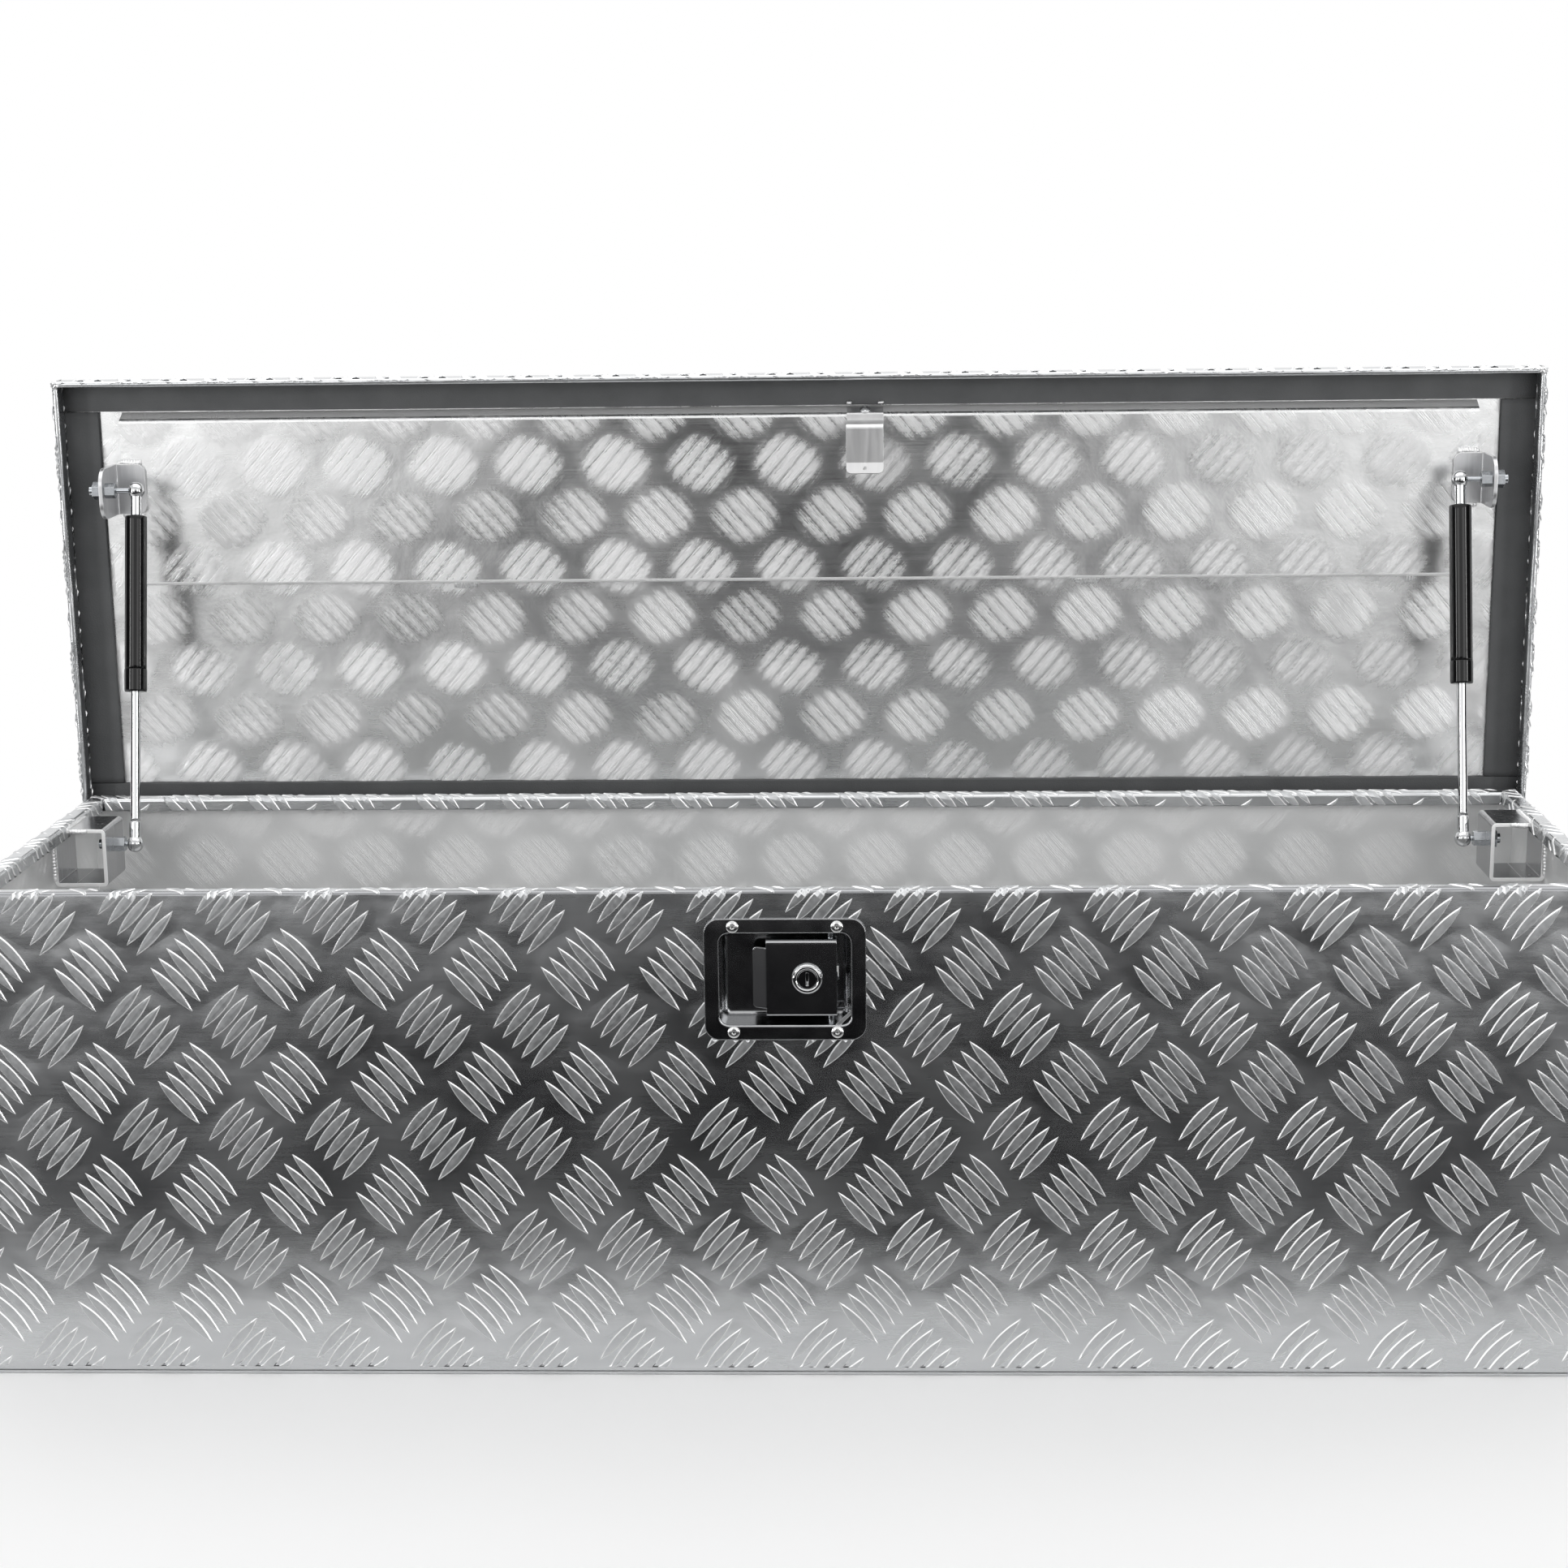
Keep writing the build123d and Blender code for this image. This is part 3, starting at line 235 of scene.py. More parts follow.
def pressedBars(tree, x, y, feather):
    # the bars' staggered lattice: x and y are wrapped into one cell and turned to the bar, where a bar is
    # 1 - (along / half length)^4 - (across in its own pitch / half pitch)^2, never below 0; its share of that plus the
    # bloom is multiplied by streaks, feather and an oval fade round each five, and group is that fade alone
    bars, groups = [], []
    for sign, shift in ((-1, 0.0), (1, 0.5)):
        cells = []
        for value, pitch, phase in ((x, tread["pitchX"], tread["phaseX"]), (y, tread["pitchY"], tread["phaseY"])):
            moved = put(tree, "ShaderNodeMath", {0: value, 1: -phase - shift * pitch}, operation="ADD")
            cells.append(put(tree, "ShaderNodeMath", {0: moved, 1: pitch / 2, 2: -pitch / 2}, operation="WRAP"))
        cell = put(tree, "ShaderNodeCombineXYZ", {0: cells[0], 1: cells[1]})
        turned = put(tree, "ShaderNodeVectorRotate", {"Vector": cell, "Angle": -sign * math.radians(tread["angle"])},
                     rotation_type="Z_AXIS")
        apart = put(tree, "ShaderNodeSeparateXYZ", {0: turned})
        along = put(tree, "ShaderNodeMath", {0: apart.outputs[1], 1: ghosts["lean"] * sign, 2: apart.outputs[0]},
                    operation="MULTIPLY_ADD")
        length = put(tree, "ShaderNodeMath", {0: along}, operation="ABSOLUTE")
        blunt = put(tree, "ShaderNodeMath", {0: along, 1: length}, operation="MULTIPLY")
        half = ghosts["halfPitch"]
        inBar = put(tree, "ShaderNodeMath", {0: apart.outputs[1], 1: half, 2: -half}, operation="WRAP")
        spread = put(tree, "ShaderNodeCombineXYZ", {0: blunt, 1: inBar})
        scaled = put(tree, "ShaderNodeVectorMath", {0: spread, 1: (1 / ghosts["halfLength"] ** 2, 1 / half, 0)},
                     operation="MULTIPLY")
        far = put(tree, "ShaderNodeVectorMath", {0: scaled, 1: scaled}, operation="DOT_PRODUCT")
        lens = put(tree, "ShaderNodeMath", {0: 1.0, 1: far.outputs["Value"]}, operation="SUBTRACT", use_clamp=True)
        oval = put(tree, "ShaderNodeCombineXYZ", {0: along, 1: apart.outputs[1]})
        oval = put(tree, "ShaderNodeVectorMath", {0: oval, 1: ghosts["oval"]}, operation="MULTIPLY")
        reach = put(tree, "ShaderNodeVectorMath", {0: oval}, operation="LENGTH")
        group = put(tree, "ShaderNodeMapRange", {"Value": reach.outputs["Value"], **ghosts["fade"]},
                    interpolation_type="SMOOTHSTEP")
        brushed = put(tree, "ShaderNodeMapping", {"Vector": turned, "Scale": ghosts["brush"]})
        brush = put(tree, "ShaderNodeTexNoise", {"Vector": brushed, "Scale": 1.0, "Detail": 4.0, "Roughness": 0.75})
        strokes = put(tree, "ShaderNodeMapRange", {"Value": brush, **ghosts["strokes"]})
        bloom = put(tree, "ShaderNodeMath", {0: lens, 1: ghosts["bar"], 2: ghosts["bloom"]}, operation="MULTIPLY_ADD")
        stroked = put(tree, "ShaderNodeMath", {0: bloom, 1: strokes}, operation="MULTIPLY")
        bars.append(put(tree, "ShaderNodeMath", {0: stroked, 1: group}, operation="MULTIPLY"))
        groups.append(group)
    both = put(tree, "ShaderNodeMath", {0: bars[0], 1: bars[1]}, operation="ADD")
    return (put(tree, "ShaderNodeMath", {0: both, 1: feather}, operation="MULTIPLY"),
            put(tree, "ShaderNodeMath", {0: groups[0], 1: groups[1]}, operation="MAXIMUM"))


def treadSheet(name, axes, plainLow, plainHigh, plainLook, shutFrame=False):
    material, tree = newMaterial(name)
    place = millimetres(tree, shutFrame)
    split = put(tree, "ShaderNodeSeparateXYZ", {0: place})
    # 1 on the plain side, told by the place within the 2 mm sheet
    middle = tuple((low + high) / 2 for low, high in zip(plainLow, plainHigh))
    inverse = tuple(2 / (high - low) for low, high in zip(plainLow, plainHigh))
    centred = put(tree, "ShaderNodeVectorMath", {0: place, 1: middle}, operation="SUBTRACT")
    ratio = put(tree, "ShaderNodeVectorMath", {0: centred, 1: inverse}, operation="MULTIPLY")
    size = put(tree, "ShaderNodeVectorMath", {0: ratio}, operation="ABSOLUTE")
    sides = put(tree, "ShaderNodeSeparateXYZ", {0: size})
    widest = put(tree, "ShaderNodeMath", {0: sides.outputs[0], 1: sides.outputs[1]}, operation="MAXIMUM")
    widest = put(tree, "ShaderNodeMath", {0: widest, 1: sides.outputs[2]}, operation="MAXIMUM")
    plain = put(tree, "ShaderNodeMath", {0: widest, 1: 1.0}, operation="LESS_THAN")
    streaked = put(tree, "ShaderNodeMapping", {"Vector": place, "Scale": (0.004, 0.06, 0.06)})
    streaks = put(tree, "ShaderNodeTexNoise", {"Vector": streaked, "Scale": 1.0, "Detail": 5.0, "Roughness": 0.6})
    cloud = put(tree, "ShaderNodeTexNoise", {"Vector": place, "Scale": 0.011, "Detail": 3.0, "Roughness": 0.5})
    fine = put(tree, "ShaderNodeTexNoise", {"Vector": place, "Scale": 0.3, "Detail": 3.0})
    feather = put(tree, "ShaderNodeMapRange", {"Value": fine, "From Min": 0.3, "From Max": 0.7, "To Min": 0.6,
                                               "To Max": 1.2})
    strength = put(tree, "ShaderNodeMapRange", {"Value": cloud, "From Min": 0.35, "From Max": 0.65, "To Min": 0.7,
                                                "To Max": 1.15})
    feather = put(tree, "ShaderNodeMath", {0: feather, 1: strength}, operation="MULTIPLY")
    bars, group = pressedBars(tree, split.outputs[axes[0]], split.outputs[axes[1]], feather)
    ghost = put(tree, "ShaderNodeMath", {0: bars, 1: plain}, operation="MULTIPLY")
    low, high = (linearColour(code) for code in sheetTones["outer"])
    outer = put(tree, "ShaderNodeMix", {0: streaks, 6: low, 7: high}, data_type="RGBA")
    if "bend" in plainLook:  # painted shade: the outside of the front rim's bend is coloured darker, to dim the bright overhead reflection on it
        high = put(tree, "ShaderNodeMath", {0: split.outputs[2], 1: plainLook["bend"][1]}, operation="GREATER_THAN")
        front = put(tree, "ShaderNodeMath", {0: split.outputs[1], 1: plainLook["bend"][0]}, operation="LESS_THAN")
        bend = put(tree, "ShaderNodeMath", {0: high, 1: front}, operation="MULTIPLY")
        outer = put(tree, "ShaderNodeMix", {0: bend, 6: outer.outputs[2], 7: linearColour(sheetTones["bend"])},
                    data_type="RGBA")
    low, high = (linearColour(code) for code in sheetTones["inner"])
    inner = put(tree, "ShaderNodeMix", {0: cloud, 6: low, 7: high}, data_type="RGBA")
    # painted highlight: the pressed-through ghosts are coloured lighter than the plain skin round them
    inner = put(tree, "ShaderNodeMix", {0: bars, 6: inner.outputs[2], 7: linearColour(sheetTones["wearAndSheen"])},
                data_type="RGBA")
    colour = put(tree, "ShaderNodeMix", {0: plain, 6: outer.outputs[2], 7: inner.outputs[2]}, data_type="RGBA")
    # roughness: the skin drifts between its two values, is rubbed duller in the ghosts and has a few scuffs across
    skin, inside = (put(tree, "ShaderNodeMapRange", {"Value": cloud, "From Min": 0.3, "From Max": 0.7, "To Min": low,
                                                     "To Max": high})
                    for low, high in (sheetTones["outerRough"], plainLook["rough"]))
    rough = put(tree, "ShaderNodeMix", {0: plain, 2: skin, 3: inside}, data_type="FLOAT")
    rough = put(tree, "ShaderNodeMath", {0: ghost, 1: ghosts["rougher"], 2: rough}, operation="MULTIPLY_ADD")
    scratched = put(tree, "ShaderNodeMapping", {"Vector": place, "Rotation": (0.4, 0.7, 0.9),
                                                "Scale": (0.02, 0.9, 0.9)})
    scratches = put(tree, "ShaderNodeTexNoise", {"Vector": scratched, "Scale": 1.0, "Detail": 2.0})
    rough = put(tree, "ShaderNodeMath", {0: scratches, 1: sheetTones["scuffs"], 2: rough}, operation="MULTIPLY_ADD")
    if "web" in plainLook:  # painted highlight: the folds on both sides of the stiffener's web are coloured near white, standing in for light on them, and made matt
        web = put(tree, "ShaderNodeMath", {0: split.outputs[1], 1: plainLook["web"][0], 2: plainLook["web"][1]},
                  operation="COMPARE")
        colour = put(tree, "ShaderNodeMix", {0: web, 6: linearColour(sheetTones["web"]), 7: colour.outputs[2]},
                     data_type="RGBA")
        rough = put(tree, "ShaderNodeMix", {0: web, 2: sheetTones["webRough"], 3: rough}, data_type="FLOAT")
    # relief in millimetres: bars pressed through on the plain side, slow waves on both, a low swell round each group
    waves = put(tree, "ShaderNodeMix", {0: plain, 2: sheetTones["outerWaves"], 3: plainLook["waves"]},
                data_type="FLOAT")
    relief = put(tree, "ShaderNodeMath", {0: cloud, 1: waves}, operation="MULTIPLY")
    relief = put(tree, "ShaderNodeMath", {0: ghost, 1: plainLook["pressed"], 2: relief}, operation="MULTIPLY_ADD")
    swell = put(tree, "ShaderNodeMix", {0: plain, 2: ghosts["swellOutside"], 3: ghosts["swellInside"]},
                data_type="FLOAT")
    relief = put(tree, "ShaderNodeMath", {0: group, 1: swell, 2: relief}, operation="MULTIPLY_ADD")
    relief = put(tree, "ShaderNodeMath", {0: fine, 1: sheetTones["grain"], 2: relief}, operation="MULTIPLY_ADD")
    finishSurface(tree, colour, rough, relief, {"Metallic": 1.0})
    return material


def plainMetal(name, tones, rough, grain, stretch, edge=None, wornAndSheen=None, sawnAndSheen=None):
    # tone and roughness drift between two values along a stretched noise, which is also the grain, in mm; edges are
    # rounded for the light over edge mm, and wear makes them rougher while a painted highlight turns them towards the
    # worn tone; sawn has the middle and half length along Y between two sawn ends, and their tone, a near-white painted
    # highlight, and roughness
    material, tree = newMaterial(name)
    place = millimetres(tree)
    mapped = put(tree, "ShaderNodeMapping", {"Vector": place, "Scale": stretch})
    drift = put(tree, "ShaderNodeTexNoise", {"Vector": mapped, "Scale": 1.0, "Detail": 4.0, "Roughness": 0.6})
    low, high = (linearColour(code) for code in tones)
    colour = put(tree, "ShaderNodeMix", {0: drift, 6: low, 7: high}, data_type="RGBA")
    rough = put(tree, "ShaderNodeMapRange", {"Value": drift, "From Min": 0.3, "From Max": 0.7, "To Min": rough[0],
                                             "To Max": rough[1]})
    relief = put(tree, "ShaderNodeMath", {0: drift, 1: grain}, operation="MULTIPLY")
    bumped = {}
    if edge:
        rounded = put(tree, "ShaderNodeBevel", {"Radius": edge / 1000}, samples=6)
        bumped = {"Normal": rounded}
    # painted highlight: the edges are coloured towards the lighter worn tone, standing in for light on them; the extra
    # roughness is wear
    if wornAndSheen:
        flatNormal = put(tree, "ShaderNodeNewGeometry").outputs["Normal"]
        facing = put(tree, "ShaderNodeVectorMath", {0: rounded, 1: flatNormal}, operation="DOT_PRODUCT")
        wearAndSheen = put(tree, "ShaderNodeMapRange", {"Value": facing.outputs["Value"], **edgeWearAndSheen})
        colour = put(tree, "ShaderNodeMix", {0: wearAndSheen, 6: colour.outputs[2], 7: linearColour(wornAndSheen)}, data_type="RGBA")
        rough = put(tree, "ShaderNodeMath", {0: wearAndSheen, 1: wornRougher, 2: rough}, operation="MULTIPLY_ADD")
    # painted highlight: the sawn ends are coloured near white as well as made matt
    if sawnAndSheen:
        middle, half, tone, dull = sawnAndSheen
        y = put(tree, "ShaderNodeSeparateXYZ", {0: place}).outputs[1]
        within = put(tree, "ShaderNodeMath", {0: y, 1: middle, 2: half}, operation="COMPARE")
        colour = put(tree, "ShaderNodeMix", {0: within, 6: linearColour(tone), 7: colour.outputs[2]}, data_type="RGBA")
        rough = put(tree, "ShaderNodeMix", {0: within, 2: dull, 3: rough}, data_type="FLOAT")
    finishSurface(tree, colour, rough, relief, {"Metallic": 1.0}, bumped)
    return material


# The plain sides: roughness, depth of the slow waves and of the pressed bars in mm, and where a fold gets painted shade
# (bend) or a painted highlight (web)
boxInside = {"rough": (0.4, 0.52), "waves": 0.8, "pressed": 0.2, "bend": (-176.5, 374.8)}
lidInside = {"rough": (0.15, 0.27), "waves": 1.6, "pressed": 0.15}
stiffenerFace = {"rough": (0.13, 0.25), "waves": 1.4, "pressed": 0.16, "web": (-90.1, 68.9)}
longSheet = treadSheet("rolledTreadPlateLong", (0, 2), (-608, -180, 4.5), (608, 180, 366), boxInside)
endSheet = treadSheet("rolledTreadPlateEnd", (1, 2), (-608, -180, 4.5), (608, 180, 366), boxInside)
floorSheet = treadSheet("rolledTreadPlateFloor", (0, 1), (-608, -180, 1.0), (608, 180, 366), boxInside)
lidSheet = treadSheet("rolledTreadPlateLid", (0, 1), (-618.5, -190.5, 371.8), (618.5, 186.5, 384), lidInside, True)
stiffenerSheet = treadSheet("rolledTreadPlateStiffener", (0, 1), (-700, -400, 300), (700, 400, 382.9), stiffenerFace,
                            True)
# Crests of the bars, rubbed by handling: matt grey with fine scratches
barCrest = plainMetal("rubbedAluminiumCrests", ("#bcbec0", "#d4d5d6"), (0.36, 0.48), 0.02, (0.3, 0.3, 0.3))
# Flanks of the bars: a near-white colour, a painted highlight that draws a thin bright line round each crest
barFlankHighlight = plainMetal("paintedHighlightFlanks", ("#f4f4f4", "#fcfcfc"), (0.36, 0.46), 0.0, (0.3, 0.3, 0.3))
# Weld beads in aluminium: frozen ripples, bright with a dull bloom
weldBead = plainMetal("aluminiumWeldBead", ("#d4d4d5", "#f6f6f6"), (0.26, 0.48), 0.14, (0.5, 0.5, 0.5))
# Bent flat bar for the strut brackets: mill finish, streaked along the drawing; the upper brackets' copy is coloured
# lighter as painted light and the lower ones' copy darker as painted shade, with matt sawn ends coloured near white as
# a painted highlight
drawnBar = {"grain": 0.05, "stretch": (0.25, 0.25, 0.02), "edge": 0.9, "wornAndSheen": "#f6f6f6"}
# painted light: a lighter copy of the bar for the upper brackets
litBracketBar = plainMetal("millFinishBarPaintedLit", ("#b4b5b7", "#e4e4e5"), (0.3, 0.42), **drawnBar)
# painted shade: a darker copy of the same bar for the lower channels, with painted highlights on its sawn ends
shadedChannelBar = plainMetal("millFinishBarPaintedShade", ("#97989a", "#cdcdce"), (0.14, 0.28), **drawnBar,
                        sawnAndSheen=(82.0, 26.7, "#fbfbfb", 0.65))
# Pressed stainless steel, mirror polished: takes the dark room and shows bright lines on its rounded edges
polishedSteel = plainMetal("mirrorPolishedStainless", ("#c0c1c3", "#cdcecf"), (0.09, 0.15), 0.01, (0.03, 0.03, 0.03),
                           edge=0.8)
# The deep-drawn dish is stretched a little duller, and its drawn rim rolls the light wider
drawnSteel = plainMetal("deepDrawnStainless", ("#a6a7a9", "#b5b6b7"), (0.11, 0.18), 0.02, (0.05, 0.05, 0.05), edge=1.5)
# Cold-rolled stainless steel with its satin mill skin
satinSteel = plainMetal("satinStainless", ("#d3d3d4", "#e4e4e4"), (0.32, 0.42), 0.03, (0.2, 0.02, 0.02), edge=0.6,
                        wornAndSheen="#f2f2f2")
# Zinc-plated steel: slightly blue-grey and satin
zincSteel = plainMetal("zincPlatedSteel", ("#9a9ea2", "#b9bcbf"), (0.13, 0.25), 0.02, (0.4, 0.4, 0.4), edge=0.3,
                       wornAndSheen="#e6e8ea")
# Hard chrome on the rods, lock and ball ends
chrome = plainMetal("hardChrome", ("#bfc0c1", "#c9cacb"), (0.05, 0.08), 0.0, (0.1, 0.1, 0.1), edge=0.7)
# Aluminium blind rivets, tumbled
rivetMetal = plainMetal("tumbledRivetAluminium", ("#d2d3d3", "#e9e9e9"), (0.16, 0.28), 0.02, (0.6, 0.6, 0.6), edge=0.4)

# Stove enamel on the strut tubes: black and glossy, with faint orange peel about 3 mm across
strutBlack, tree = newMaterial("blackStoveEnamel")
peel = put(tree, "ShaderNodeTexNoise", {"Vector": millimetres(tree), "Scale": 0.35, "Detail": 2.0})
colour = put(tree, "ShaderNodeMix", {0: peel, 6: linearColour("#0b0b0c"), 7: linearColour("#121213")}, data_type="RGBA")
rough = put(tree, "ShaderNodeMapRange", {"Value": peel, "To Min": 0.09, "To Max": 0.15})
relief = put(tree, "ShaderNodeMath", {0: peel, 1: 0.02}, operation="MULTIPLY")
finishSurface(tree, colour, rough, relief, {"IOR": 1.5, "Specular IOR Level": 0.4}, {"Strength": 0.6})

# Closed-cell EPDM foam tape: matt charcoal skin with fine cells, drawn 1.2 mm across, coarser than real to show
foamTape, tree = newMaterial("closedCellFoamTape")
place = millimetres(tree)
cells = put(tree, "ShaderNodeTexVoronoi", {"Vector": place, "Scale": 0.8})
patchy = put(tree, "ShaderNodeTexNoise", {"Vector": place, "Scale": 0.03, "Detail": 4.0})
colour = put(tree, "ShaderNodeMix", {0: patchy, 6: linearColour("#494a4b"), 7: linearColour("#5e5f60")},
             data_type="RGBA")
relief = put(tree, "ShaderNodeMath", {0: cells, 1: 0.2}, operation="MULTIPLY")
finishSurface(tree, colour, 0.86, relief, {"Specular IOR Level": 0.3}, {"Strength": 0.7})
print("materials made")

finishes = {
    longSheet: ["front_panel", "back_panel"], endSheet: ["left_end_panel", "right_end_panel"],
    floorSheet: ["floor_panel"], lidSheet: ["lid_skin"], stiffenerSheet: ["lid_stiffener"],
    drawnSteel: ["latch_dish"], polishedSteel: ["paddle"], satinSteel: ["striker"],
    chrome: ["left_lower_ball", "right_lower_ball", "lock_plug", "striker_screw"],
    litBracketBar: ["left_upper_bracket", "right_upper_bracket"],
    shadedChannelBar: ["left_strut_channel", "right_strut_channel", "left_strut_angle", "right_strut_angle"],
    zincSteel: ["hinge_box_leaf", "hinge_lid_leaf", "hinge_pin", "left_strut_piston", "right_strut_piston",
                "left_upper_stud", "right_upper_stud", "left_lower_stud", "right_lower_stud", "upper_stud_nuts",
                "lower_stud_nuts", "paddle_pin", "paddle_spring", "lock_cam", "latch_bolt", "latch_case"],
}
for material, names in finishes.items():
    for name in names:
        nodes[name].data.materials.clear()
        nodes[name].data.materials.append(material)

# Tread bars on the box: outer face, round the rim bend, over the rim and down its return
wallTable = profileTable([(0, 0), (0, box["rim"]), (box["rimWidth"], box["rim"]), (box["rimWidth"], box["returnEnd"])],
                         (box["bend"], box["bend"]))
wallTop = wallTable[0][-1] - tread["pastEnd"]
wallBars = {"from": 8.0, "lowest": 6.5, "fromFold": 2.2, "flattened": 0.72}  # the fold flattens the bars a little
hingeZone = {"halfLength": 600.0, "low": 333.0, "high": 377.2}  # bars sunk under the hinge's leaves
latchZone = {"x": 2.0, "z": 310.7, "halfWidth": 57.5, "halfHeight": 44.0, "sunk": -0.5}
walls = (
    ("front", box["halfLength"], (0, -box["halfDepth"], 0), (1, 0, 0), (0, 1, 0), (tread["phaseX"], tread["phaseY"])),
    ("back", box["halfLength"], (0, box["halfDepth"], 0), (-1, 0, 0), (0, -1, 0), (14.0, 208.0)),
    ("left", box["halfDepth"], (-box["halfLength"], 0, 0), (0, -1, 0), (1, 0, 0), (9.0, 221.0)),
    ("right", box["halfDepth"], (box["halfLength"], 0, 0), (0, 1, 0), (-1, 0, 0), (-12.0, 243.0)),
)
for name, half, place, alongWay, inWay, phase in walls:
    s, t, h = barShapes(*barLattice(half, wallBars["from"], wallTop, phase))
    t = np.clip(t, wallBars["lowest"], wallTop)
    h = np.where(t > box["rim"] - wallBars["fromFold"], h * wallBars["flattened"], h)
    if name == "back":
        under = (abs(s) < hingeZone["halfLength"]) & (t > hingeZone["low"]) & (t < hingeZone["high"])
        h = np.where(under, tread["sunk"], h)
    if name == "front":
        # bars wholly under the latch plate are left out; the rest are drawn back to its edge and sunk
        dx, dz = s - latchZone["x"], t - latchZone["z"]
        spareX, spareZ = latchZone["halfWidth"] - abs(dx), latchZone["halfHeight"] - abs(dz)
        under = (spareX > 0) & (spareZ > 0)
        s = np.where(under & (spareX < spareZ), s + np.sign(dx) * spareX, s)
        t = np.where(under & (spareX >= spareZ), t + np.sign(dz) * spareZ, t)
        h = np.where(under, latchZone["sunk"], h)
        seen = ~under.all(axis=(1, 2))
        s, t, h = s[seen], t[seen], h[seen]
    barPiece(name + "WallBars", layOnFold(s, t, h, wallTable, half, place, alongWay, inWay), "box")
print("box bars laid")

# Tread bars on the lid, drawn shut: top sheet, over the edge bend, down the skirt and up the folded hem
lidBars = {"inset": 330.0, "least": 0.5, "folded": 46.0, "phase": (21.0, 17.0), "hemFrom": 26.0, "onHem": 0.7}
lidTable = profileTable([(lidBars["inset"], lid["top"]), (0, lid["top"]), (0, lid["skirtLow"]),
                         (lid["hemStack"], lid["skirtLow"]), (lid["hemStack"], lid["hemTop"])],
                        (lid["bend"], lid["hemBend"], lid["hemBend"]))
lidTable = (lidTable[0], lidTable[1], -lidTable[2])
lidRun = lidTable[0][-1] - tread["pastEnd"]
lidHalf, lidMiddle, lidHalfDepth = lid["halfLength"], (lid["front"] + lid["back"]) / 2, (lid["back"] - lid["front"]) / 2
edgeRun = lid["bend"] * (math.pi / 2 - 2)  # how much shorter the bend is than its corner
across, deep = lidHalf + lidBars["folded"], lidHalfDepth + lidBars["folded"]
centres, headings = barLattice(across, -deep, deep, lidBars["phase"])
x, y = centres.T
onLong = abs(y) - lidHalfDepth >= abs(x) - lidHalf
lidSides = (
    ("Front", (0, lid["front"], 0), (1, 0, 0), (0, 1, 0), lidHalf, onLong & (y < 0), 0, -1),
    ("Back", (0, lid["back"], 0), (-1, 0, 0), (0, -1, 0), lidHalf, onLong & (y >= 0), 0, 1),
    ("Left", (-lidHalf, lidMiddle, 0), (0, -1, 0), (1, 0, 0), lidHalfDepth, ~onLong & (x < 0), 1, -1),
    ("Right", (lidHalf, lidMiddle, 0), (0, 1, 0), (-1, 0, 0), lidHalfDepth, ~onLong & (x >= 0), 1, 1),
)
for name, place, alongWay, inWay, half, chosen, alongAxis, sign in lidSides:
    s, t, h = barShapes(centres[chosen], headings[chosen])
    flat = (s, t)
    run = flat[1 - alongAxis] * sign - (lidHalf if alongAxis else lidHalfDepth)  # past the lid's edge
    along = flat[alongAxis] * alongWay[alongAxis]
    run = np.clip(run + lidBars["inset"] - edgeRun / 2, lidBars["least"], lidRun)
    onHem = run > lidBars["inset"] + lidBars["hemFrom"]
    h = np.where(onHem, tread["sunk"] if name == "Back" else h * lidBars["onHem"], h)
    barPiece("lid" + name + "Bars", layOnFold(along, run, h, lidTable, half, place, alongWay, inWay), "lid", turn=True)
print("lid bars laid")

# Foam seal: four butted strips with softly rounded long edges, a little thinner than the space when uncompressed
seal = {"edge": 3.0, "front": 24.0, "side": 29.0, "thick": 4.1, "round": 1.0, "jointGap": 0.5, "steps": 60,
        "offSkin": 0.02, "wave": 0.15, "arcSteps": 4}


def foamStrip(start, end, alongX):
    # a rounded-rectangle section carried along the strip; the free face waves as tape laid by hand does, by
    # wave * sin(37 u) * sin(11 u), u running from 0 to 1 along the strip
    span = np.linspace(0, 1, seal["steps"])
    (x0, y0), (x1, y1) = start, end
    r, top = seal["round"], lid["inner"] - seal["offSkin"]
    wide = (y1 - y0) if alongX else (x1 - x0)
    arc = np.linspace(0, math.pi / 2, seal["arcSteps"])
    low = top - seal["thick"]
    side = np.concatenate([[0], r - r * np.cos(arc), wide - r + r * np.sin(arc), [wide]])
    up = np.concatenate([[top], low + r - r * np.sin(arc), low + r - r * np.cos(arc), [top]])
    free = np.clip((top - up) / seal["thick"], 0, 1)
    wave = seal["wave"] * np.sin(span * 37 + x0) * np.sin(span * 11 + y0)
    along = (x0 + (x1 - x0) * span) if alongX else (y0 + (y1 - y0) * span)
    a = np.repeat(along[:, None], len(side), axis=1)
    b = (y0 if alongX else x0) + side[None] + 0 * a
    z = up[None] + free[None] * wave[:, None]
    return np.stack([a, b, z] if alongX else [b, a, z], axis=-1)


